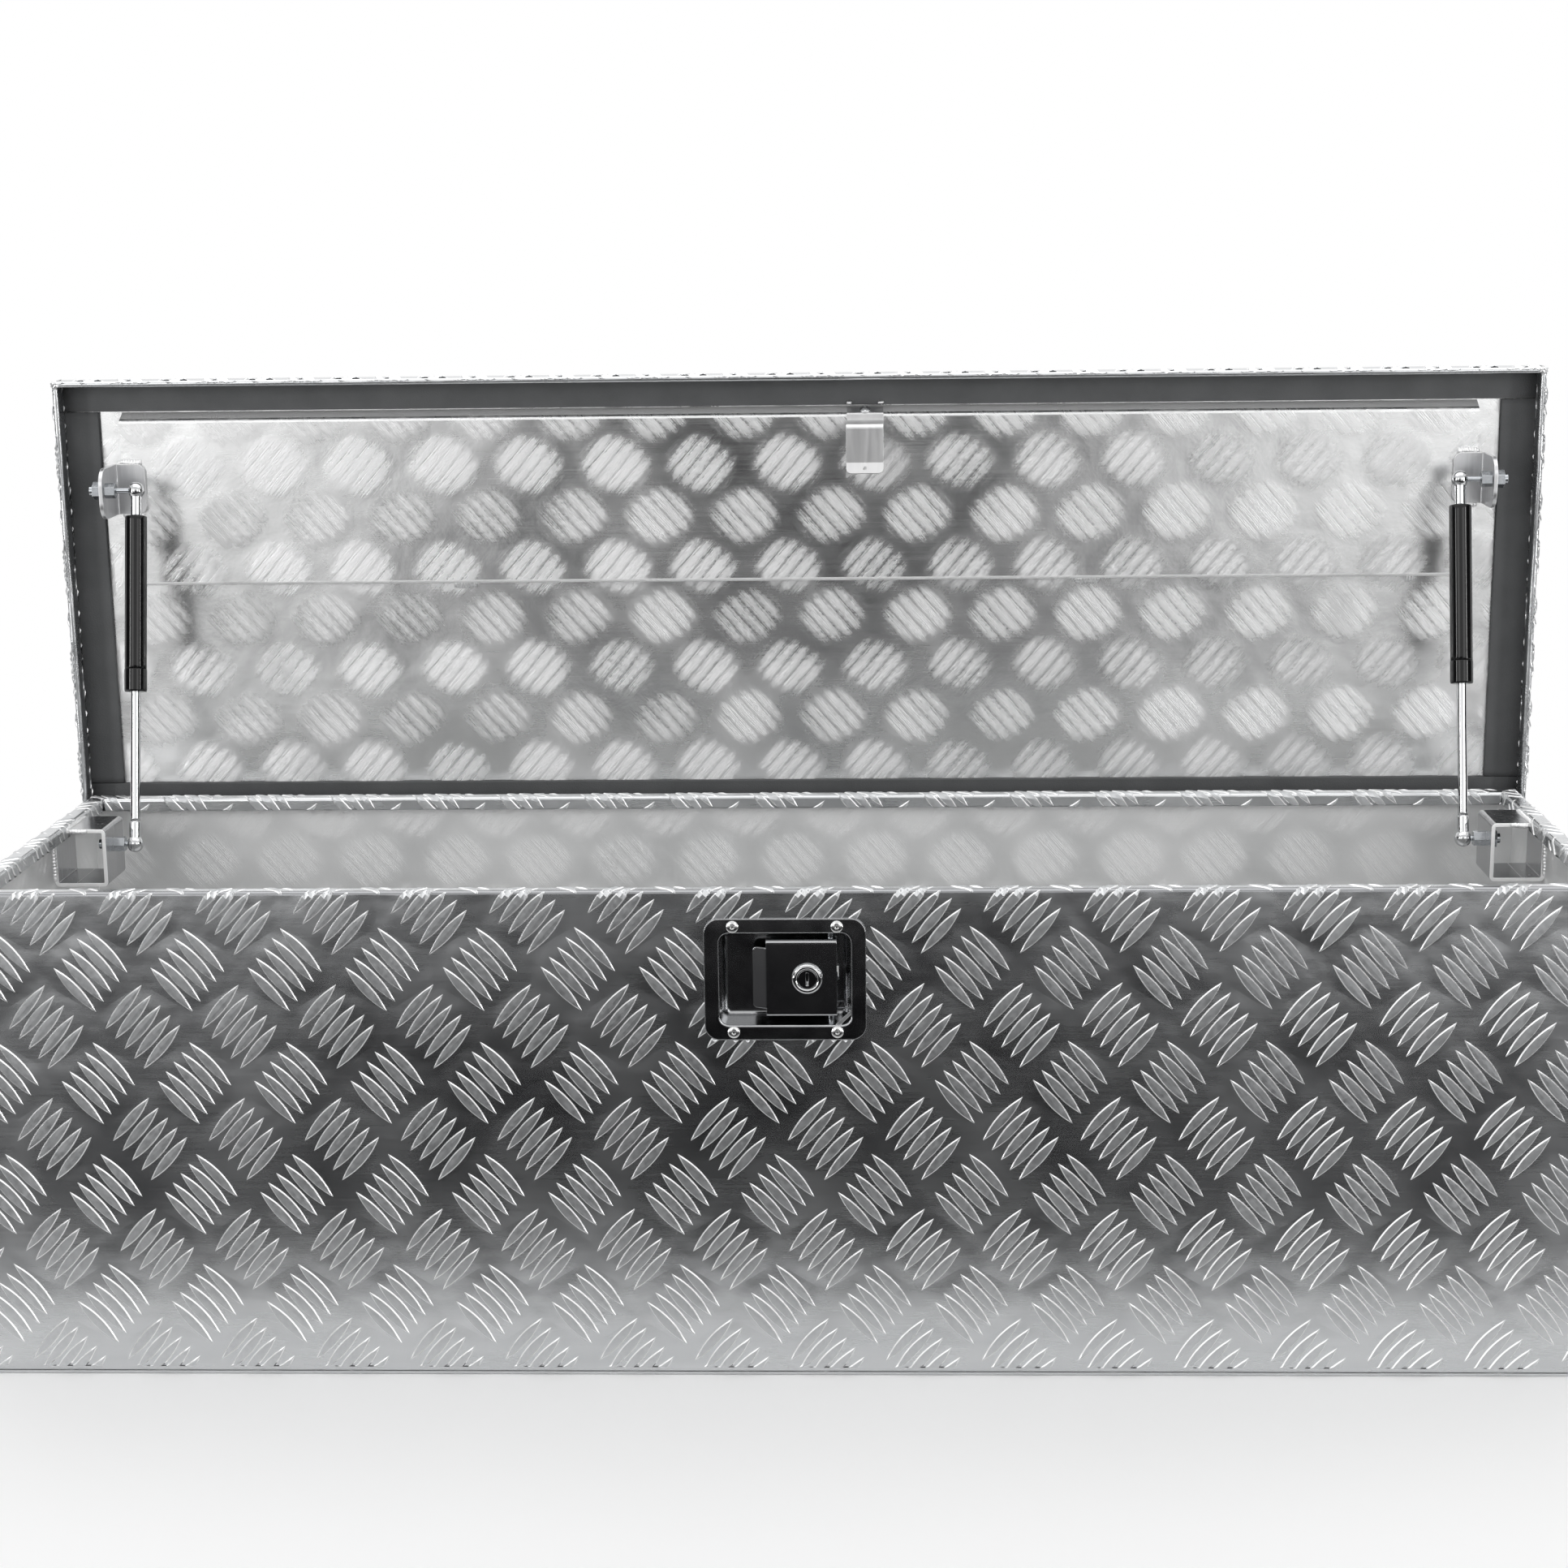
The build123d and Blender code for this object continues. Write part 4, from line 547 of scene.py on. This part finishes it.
edgeX, frontY, backY = lid["halfLength"] - seal["edge"], lid["front"] + seal["edge"], lid["back"] - seal["edge"]
gap, frontIn, backIn = seal["jointGap"] / 2, frontY + seal["front"], backY - seal["side"]
strips = (
    ((-edgeX, frontY), (edgeX, frontIn - gap), True),
    ((-edgeX, backIn + gap), (edgeX, backY), True),
    ((-edgeX, frontIn + gap), (-edgeX + seal["side"], backIn - gap), False),
    ((edgeX - seal["side"], frontIn + gap), (edgeX, backIn - gap), False),
)
foamPoints, foamFaces, offset = [], [], 0
for start, end, alongX in strips:
    rings = foamStrip(start, end, alongX)
    rows, columns = rings.shape[:2]
    sides = gridFaces(rows, columns, ring=True)
    if alongX:
        sides = sides[:, ::-1]
    first, last = np.arange(columns), np.arange(columns) + (rows - 1) * columns
    middle = columns // 2
    caps = []
    for ring, turn in ((first, not alongX), (last, alongX)):
        quads = np.stack([ring[:middle - 1], ring[1:middle], ring[::-1][1:middle], ring[::-1][:middle - 1]], axis=-1)
        caps.append(quads[:, ::-1] if turn else quads)
    foamFaces.append(np.concatenate([sides, *caps]) + offset)
    foamPoints.append(rings.reshape(-1, 3))
    offset += rows * columns
foam = addPiece("foamSeal", swing(np.concatenate(foamPoints)), np.concatenate(foamFaces), "lid", [foamTape])
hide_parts("front_seal", "rear_seal", "left_seal", "right_seal")
print("foam seal made")

# Gas struts, turned: radius and distance from the ball, along the line of the strut
strut = {"x": 546.0, "upper": (153.086, 641.708), "lower": (82.0, 356.7), "around": 64, "ball": 7.0, "neck": 4.8,
         "flat": 5.4, "upperNeck": 21.6, "lowerNeck": 18.6,
         "barrel": [(0, 21.5), (8.2, 21.5), (8.8, 21.8), (9, 22.5), (9, 148.1), (8.6, 148.5), (9.25, 148.9),
                    (9.25, 166.2), (8.9, 167.2), (8.3, 167.5), (4.05, 167.5), (4.05, 145.5), (7.5, 145.5), (7.5, 26.5),
                    (0, 26.5)],
         "shaft": [(0, 144), (3.6, 144), (4, 144.4), (4, 275.2), (0, 275.2)], "ballSteps": 22, "chamfer": (0.7, 0.8)}


def turnedSurface(profile, start, way, around):
    # radius r and distance d swept round a line: place = start + d * way + r * (cos a * across - sin a * X);
    # each corner has a neighbour 2 percent to either side, so that it stays crisp under smooth shading
    across = np.cross(way, (1.0, 0.0, 0.0))
    corners = np.array(profile, float)
    index = np.arange(len(corners)).repeat(3)
    other = np.clip(index + np.tile([-1, 0, 1], len(corners)), 0, len(corners) - 1)
    r, d = (corners[index] + (corners[other] - corners[index]) * 0.02)[1:-1].T
    a = np.linspace(0, 2 * math.pi, around, endpoint=False)
    ring = across * np.cos(a)[:, None] - np.array([1.0, 0, 0]) * np.sin(a)[:, None]
    return start + d[:, None, None] * np.array(way) + r[:, None, None] * ring[None]


def turnedPiece(name, surfaces, body, material, slot, *replaced):
    # joins turned surfaces of one size and merges the points at their poles, so that they are closed
    rows, around = surfaces[0].shape[:2]
    points = np.concatenate([s.reshape(-1, 3) for s in surfaces])
    piece = addPiece(name, points, gridFaces(rows, around, len(surfaces), ring=True), body, [material])
    solid = bmesh.new()
    solid.from_mesh(piece.data)
    bmesh.ops.remove_doubles(solid, verts=solid.verts, dist=1e-7)
    solid.to_mesh(piece.data)
    solid.free()
    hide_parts(*replaced)


# socket: a ball, sqrt(R^2 - d^2), that runs into its neck, milled flat on the bracket's side
swellAngle = np.linspace(0, math.pi - math.asin(strut["neck"] / strut["ball"]), strut["ballSteps"])
ballLine = np.stack([strut["ball"] * np.sin(swellAngle), -strut["ball"] * np.cos(swellAngle)], axis=-1)
for side, name in ((-1, "left"), (1, "right")):
    upper, lower = (np.array([side * strut["x"], *strut[k]]) for k in ("upper", "lower"))
    way = (lower - upper) / np.linalg.norm(lower - upper)
    turnedPiece(name + "StrutBarrel", [turnedSurface(strut["barrel"], upper, way, strut["around"])], name + "_tube",
                strutBlack, "black_paint", name + "_strut_tube", name + "_strut_guide")
    turnedPiece(name + "StrutShaft", [turnedSurface(strut["shaft"], upper, way, strut["around"])], name + "_rod",
                chrome, "chrome", name + "_strut_rod")
    for end, body, start, out in (("upper", "_tube", upper, way), ("lower", "_rod", lower, -way)):
        reach = strut[end + "Neck"]
        neck, (wide, long) = strut["neck"], strut["chamfer"]
        line = [*map(tuple, ballLine), (neck, reach - long), (neck - wide, reach), (0, reach)]
        socket = turnedSurface(line, start, out, strut["around"])
        socket[..., 0] = side * np.minimum(side * socket[..., 0], strut["x"] + strut["flat"])
        turnedPiece(name + end.capitalize() + "BallSocket", [socket], name + body, chrome, "chrome",
                    name + "_" + end + "_socket")
print("struts turned")

# Latch rivets: domed heads with the snapped mandrel sunk in the middle; and the lock's rounded bezel
latch = {"x": 2.0, "z": 310.7, "front": -182.5, "rivetX": 38.2, "rivetZ": 40.0, "around": 40,
         "rivet": [(0, -1.4), (4.6, -1.4), (4.6, 0.1), (4.4, 0.55), (3.7, 1.0), (2.8, 1.38), (1.9, 1.57), (1.5, 1.5),
                   (1.3, 1.2), (1.25, 0.5), (0.9, 0.62), (0, 0.7)],
         "lockX": 18.2, "lockFace": -179.1, "bezelAround": 64,
         "bezel": [(7.25, -14), (9, -14), (9, 0), (11.3, 0), (11.45, 0.3), (11.45, 1.5), (11.2, 2.3), (10.6, 2.95),
                   (9.8, 3.42), (9.1, 3.6), (8.4, 3.5), (7.8, 3.1), (7.4, 2.4), (7.25, 1.6), (7.25, -14)]}
heads = [turnedSurface(latch["rivet"], (latch["x"] + dx, latch["front"], latch["z"] + dz), (0, -1, 0), latch["around"])
         for dx in (-latch["rivetX"], latch["rivetX"]) for dz in (-latch["rivetZ"], latch["rivetZ"])]
turnedPiece("latchRivetHeads", heads, "box", rivetMetal, "rivet", "latch_rivets")
bezel = turnedSurface(latch["bezel"], (latch["lockX"], latch["lockFace"], latch["z"]), (0, -1, 0),
                      latch["bezelAround"])
turnedPiece("lockBezel", [bezel], "paddle", chrome, "chrome", "lock_barrel")
print("rivets and bezel turned")

# Welds: rippled beads half sunk in their seams. A run has its start, end, way up, width, height, ripple pitch and seed
weld = {"columns": 9, "step": 0.45, "leastRows": 12, "halfTurn": 1.75, "ripple": 0.34, "lean": 0.25, "sunk": 0.9,
        "overRim": 17.0}


def weldRun(start, end, up, wide, tall, pitch, seed):
    # a half ellipse of width w and height t carried from start to end; both grow with the ripples,
    # 1 + ripple |sin(pi s / pitch)|, and close at the ends as the fourth root of 1 - (2 s / length - 1)^4; its middle
    # wanders as two slow sines, and the ripples lean back and forth along the run
    start, end, up = (np.array(v, float) for v in (start, end, up))
    length = np.linalg.norm(end - start)
    share = np.linspace(0, 1, max(int(length / weld["step"]), weld["leastRows"]))
    way = (end - start) / length
    sideWay = np.cross(way, up)
    s = share * length
    wander = 0.35 * np.sin(s * 0.23 + seed) + 0.2 * np.sin(s * 0.61 + 2 * seed)
    ripple = 1 + weld["ripple"] * np.abs(np.sin(math.pi * s / pitch + seed))
    swell = ripple * (1 - (2 * share - 1) ** 4 + 1e-4) ** 0.25
    a = np.linspace(-weld["halfTurn"], weld["halfTurn"], weld["columns"])
    lean = np.abs(a)[None] * weld["lean"] * np.sin(2 * math.pi * s / pitch + seed)[:, None]
    across = (wide / 2 * swell)[:, None] * np.sin(a)[None] + (wander * wide / 6)[:, None]
    rise = (tall * swell)[:, None] * np.cos(a)[None]
    return start + (s[:, None] + lean)[..., None] * way + across[..., None] * sideWay + rise[..., None] * up


def weldPiece(name, runs, body, turn=False):
    points, faces, offset = [], [], 0
    for run in runs:
        bead = weldRun(*run)
        points.append(bead.reshape(-1, 3))
        faces.append(gridFaces(*bead.shape[:2]) + offset)
        offset += len(points[-1])
    stacked = np.concatenate(points)
    addPiece(name, swing(stacked) if turn else stacked, np.concatenate(faces), body, [weldBead])


boxRuns, lidRuns, seed = [], [], 0.0
rim, hem = box["rim"], lid["skirtLow"]
for side in (-1, 1):
    # box corners: up the outer edge, over the rim's mitre and down inside its return
    for end in (-1, 1):
        seed += 1.3
        corner = np.array([side * (box["halfLength"] - weld["sunk"]), end * (box["halfDepth"] - weld["sunk"]), 0.0])
        out = np.array([side, end, 0]) / math.sqrt(2)
        inner, top = corner - out * weld["overRim"], np.array([0, 0, rim - 0.7])
        boxRuns += [(corner + (0, 0, 4), corner + (0, 0, rim - 3), out, 3.4, 0.9, 3.1, seed),
                    (corner + top - out * 2, inner + top - out * 1.5, (0, 0, 1), 3.4, 1.1, 2.6, seed + 1),
                    (inner + (0, 0, rim - 2), inner + (0, 0, box["returnEnd"] + 1), -out, 4.4, 1.4, 2.4, seed + 2)]
    # lower bracket: along the rim return, behind the channel, and down the wall at both ends of the angle
    rimX, wallX = side * 594.6, side * 606.8
    boxRuns.append(((rimX, 55.5, 374.2), (rimX, 108.5, 374.2), (-side, 0, 0.25), 3.6, 1.5, 2.8, seed))
    for y, away in ((54.6, -1), (109.4, 1)):
        boxRuns += [((side * 592, y, 372.6), (side * 578, y, 373.1), (0, away, 0.3), 3.2, 1.3, 2.5, y),
                    ((wallX, y, 361), (wallX, y, 331), (-side * 0.6, away, 0), 3.6, 1.2, 2.8, y + 1)]
    # lid corners, shut: down the skirt's mitre and over its hem
    for y in (lid["front"] + weld["sunk"], lid["back"] - weld["sunk"]):
        out = np.array([side, 1 if y > 0 else -1, 0]) / math.sqrt(2)
        corner = np.array([side * (lid["halfLength"] - weld["sunk"]), y, 0])
        low = corner + (0, 0, hem + 0.9)
        lidRuns += [(corner + (0, 0, lid["top"] - 2.5), corner + (0, 0, hem + 1.5), out, 3.0, 0.9, 2.8, y),
                    (low, corner - out * 6 + (0, 0, hem + 0.9), (0, 0, -1), 5.4, 1.6, 2.4, y + 2)]
    # upper bracket: short beads above and below its plate on the stiffener, and one down the plate's outer edge
    for y, wide in ((-122.6, 5.4), (-78.8, 4.6)):
        lidRuns.append(((side * 551, y, 369.6), (side * 569, y, 369.6), (0, 0, -1), wide, 2.1, 2.3, y))
    lidRuns.append(((side * 575.6, -117, 369.4), (side * 575.6, -84, 369.4), (side * 0.3, 0, -1), 3.0, 1.4, 2.6, 0.0))
# tack welds along the stiffener's rear leg
for x, long in ((-512, 9), (-282, 21), (247, 21), (518, 9)):
    lidRuns.append(((x - long / 2, -16.4, 382.6), (x + long / 2, -16.4, 382.6), (0, 0.25, -1), 6.5, 2.0, 2.4, x))
# striker foot: two tacks on the slanted leg
for x in (46.5, 73.0):
    lidRuns.append(((x - 2.5, -166.6, 378.6), (x + 2.5, -166.6, 378.6), (0, -0.9, -0.4), 3.0, 1.2, 2.0, x))
weldPiece("boxWelds", boxRuns, "box")
weldPiece("lidWelds", lidRuns, "lid", turn=True)
print("welds laid")

# Floor, flags, lamps and camera
studio = {"floorZ": -0.4, "reach": 9.0, "fade": {"From Min": 0.3, "From Max": 0.85}, "narrow": (0.5, 1, 1),
          "ambient": 0.5, "waver": 0.5}


def seenRays(tree):
    # 1 for rays from the camera and those that mirrors and glass send on, 0 for the rest
    rays = put(tree, "ShaderNodeLightPath").outputs
    seen = put(tree, "ShaderNodeMath", {0: rays["Is Camera Ray"], 1: rays["Is Glossy Ray"]}, operation="MAXIMUM")
    return put(tree, "ShaderNodeMath", {0: seen, 1: rays["Is Transmission Ray"]}, operation="MAXIMUM")


# Pale paint that takes the shadow; away from the object it fades to plain white for the rays that are seen
floorPaint, tree = newMaterial("palePaintedFloor")
place = put(tree, "ShaderNodeTexCoord").outputs["Object"]
mottle = put(tree, "ShaderNodeTexNoise", {"Vector": place, "Scale": 3.0})
low, high = linearColour("#f4f4f4"), linearColour("#f7f7f7")
colour = put(tree, "ShaderNodeMix", {0: mottle, 6: low, 7: high}, data_type="RGBA")
paint = put(tree, "ShaderNodeBsdfPrincipled", {"Base Color": colour.outputs[2], "Roughness": 0.9,
                                               "Specular IOR Level": 0.0})
drawn = put(tree, "ShaderNodeVectorMath", {0: place, 1: studio["narrow"]}, operation="MULTIPLY")
away = put(tree, "ShaderNodeVectorMath", {0: drawn}, operation="LENGTH")
far = put(tree, "ShaderNodeMapRange", {"Value": away.outputs["Value"], **studio["fade"]},
          interpolation_type="SMOOTHSTEP")
fade = put(tree, "ShaderNodeMath", {0: far, 1: seenRays(tree)}, operation="MULTIPLY")
white = put(tree, "ShaderNodeEmission", {"Color": (1, 1, 1, 1), "Strength": 1.0})
mixed = put(tree, "ShaderNodeMixShader", {0: fade, 1: paint, 2: white})
put(tree, "ShaderNodeOutputMaterial", {"Surface": mixed})


def stagePlane(name, corners, material):
    mesh = bpy.data.meshes.new(name)
    mesh.from_pydata(corners, [], [(0, 1, 2, 3)])
    mesh.materials.append(material)
    plane = bpy.data.objects.new(name, mesh)
    bpy.context.scene.collection.objects.link(plane)
    return plane


r, z = studio["reach"], studio["floorZ"] / 1000
stagePlane("studioFloor", [(-r, -r, z), (r, -r, z), (r, r, z), (-r, r, z)], floorPaint)

# Grey flags stand out of the camera's sight and only tone the reflections in the metal; their edges are thinned out.
# Each has its two axes, its middle, its half width and height of full tone, and how far the tone takes to fade, in
# metres; the tone runs from dark to pale sideways between two distances from the middle, which waver a little.
axes = {"x": (1, 0, 0), "y": (0, 1, 0), "z": (0, 0, 1)}
flags = (
    ("nearFloorFlag", "xy", (0.0, -1.17, 0.004), (1.4, 0.68), (0.6, 0.26), ("#171718", "#424243"), (0.12, 0.9)),
    ("farFloorFlag", "xy", (0.0, -2.9, 0.003), (1.8, 0.75), (0.7, 0.5), ("#a2a2a3", "#e6e6e6"), (0.4, 1.3)),
    ("cameraFlag", "xz", (-0.12, -2.5, 0.42), (0.3, 0.34), (0.68, 0.2), ("#1b1b1c", "#4a4a4c"), (0.1, 0.7)),
    ("leftFlag", "yz", (-2.12, -0.85, 0.75), (1.2, 0.6), (0.25, 0.3), ("#1c1c1d", "#262627"), (0.2, 0.8)),
    ("rightFlag", "yz", (2.12, -0.85, 0.75), (1.2, 0.6), (0.25, 0.3), ("#1c1c1d", "#262627"), (0.2, 0.8)),
)
for name, ways, middle, full, fade, tones, spread in flags:
    cloth, tree = newMaterial(name + "Cloth")
    place = put(tree, "ShaderNodeTexCoord").outputs["Object"]
    centred = put(tree, "ShaderNodeVectorMath", {0: place, 1: middle}, operation="SUBTRACT")
    sizes, ends, halves = [], [], []
    for letter, reach, soft in zip(ways, full, fade):
        part = put(tree, "ShaderNodeVectorMath", {0: centred, 1: axes[letter]}, operation="DOT_PRODUCT")
        sizes.append(put(tree, "ShaderNodeMath", {0: part.outputs["Value"]}, operation="ABSOLUTE"))
        ends.append(put(tree, "ShaderNodeMapRange", {"Value": sizes[-1], "From Min": reach + soft, "From Max": reach},
                        interpolation_type="SMOOTHSTEP"))
        halves.append(np.array(axes[letter]) * (reach + soft))
    cover = put(tree, "ShaderNodeMath", {0: ends[0], 1: ends[1]}, operation="MULTIPLY")
    folds = put(tree, "ShaderNodeTexNoise", {"Vector": place, "Scale": 3.0, "Detail": 2.0})
    waver = studio["waver"]
    wander = put(tree, "ShaderNodeMath", {0: folds, 1: waver, 2: sizes[0]}, operation="MULTIPLY_ADD")
    tone = put(tree, "ShaderNodeMapRange", {"Value": wander, "From Min": spread[0] + waver / 2,
                                            "From Max": spread[1] + waver / 2}, interpolation_type="SMOOTHSTEP")
    low, high = (linearColour(code) for code in tones)
    colour = put(tree, "ShaderNodeMix", {0: tone, 6: low, 7: high}, data_type="RGBA")
    dull = put(tree, "ShaderNodeEmission", {"Color": colour.outputs[2], "Strength": 1.0})
    clear = put(tree, "ShaderNodeBsdfTransparent")
    mixed = put(tree, "ShaderNodeMixShader", {0: cover, 1: clear, 2: dull})
    put(tree, "ShaderNodeOutputMaterial", {"Surface": mixed})
    corners = [tuple(middle + a * halves[0] + b * halves[1]) for a, b in ((-1, -1), (1, -1), (1, 1), (-1, 1))]
    flag = stagePlane(name, corners, cloth)
    flag.visible_camera = flag.visible_diffuse = flag.visible_shadow = flag.visible_transmission = False

# The room: white where it is seen, dimmer as light
world = bpy.data.worlds.new("softStudio")
world.use_nodes = True
bpy.context.scene.world = world
tree = world.node_tree
tree.nodes.clear()
dim = put(tree, "ShaderNodeBackground", {"Color": (1, 1, 1, 1), "Strength": studio["ambient"]})
white = put(tree, "ShaderNodeBackground", {"Color": (1, 1, 1, 1), "Strength": 1.0})
mixed = put(tree, "ShaderNodeMixShader", {0: seenRays(tree), 1: dim, 2: white})
put(tree, "ShaderNodeOutputWorld", {0: mixed})

# Area lamps: place, target, size in metres and watts
lamps = (
    ("overheadSoftbox", (0.0, 0.1, 2.4), (0.0, 0.0, 0.3), (3.2, 2.4), 26),
    ("leftSoftbox", (-1.7, -3.0, 1.3), (0.0, 0.0, 0.35), (1.4, 1.6), 9),
    ("rightSoftbox", (1.7, -3.0, 1.3), (0.0, 0.0, 0.35), (1.4, 1.6), 9),
    ("leftStrip", (-2.0, -1.2, 0.7), (-0.5, 0.1, 0.6), (0.22, 1.5), 12),
    ("rightStrip", (2.0, -1.2, 0.7), (0.5, 0.1, 0.6), (0.22, 1.5), 12),
)
for name, place, target, size, power in lamps:
    lamp = bpy.data.lights.new(name, "AREA")
    lamp.shape, lamp.size, lamp.size_y, lamp.energy = "RECTANGLE", size[0], size[1], power
    holder = bpy.data.objects.new(name, lamp)
    bpy.context.scene.collection.objects.link(holder)
    holder.location = place
    holder.rotation_euler = (Vector(target) - Vector(place)).to_track_quat("-Z", "Y").to_euler()

# The photograph's camera, fitted to the edges of the box and the lid
view = {"eye": (0.081489, -2.159430, 0.849364), "lens": 64.1351, "shift": (-0.0078761, 0.0460455),
        "right": (0.999394, 0.032840, -0.011516), "up": (0.004007, 0.220122, 0.975464),
        "forward": (-0.034569, 0.974919, -0.219858)}
cameraData = bpy.data.cameras.new("photoView")
cameraData.lens, cameraData.sensor_width = view["lens"], 36.0
cameraData.shift_x, cameraData.shift_y = view["shift"]
camera = bpy.data.objects.new("photoView", cameraData)
bpy.context.scene.collection.objects.link(camera)
r, u, f = (np.array(view[k]) for k in ("right", "up", "forward"))
turned = np.stack([r, u, -f], axis=1)
camera.matrix_world = Matrix([(*row, place) for row, place in zip(turned, view["eye"])] + [(0, 0, 0, 1)])
bpy.context.scene.camera = camera
bpy.context.scene.view_settings.view_transform = "Standard"
print("studio and camera set")
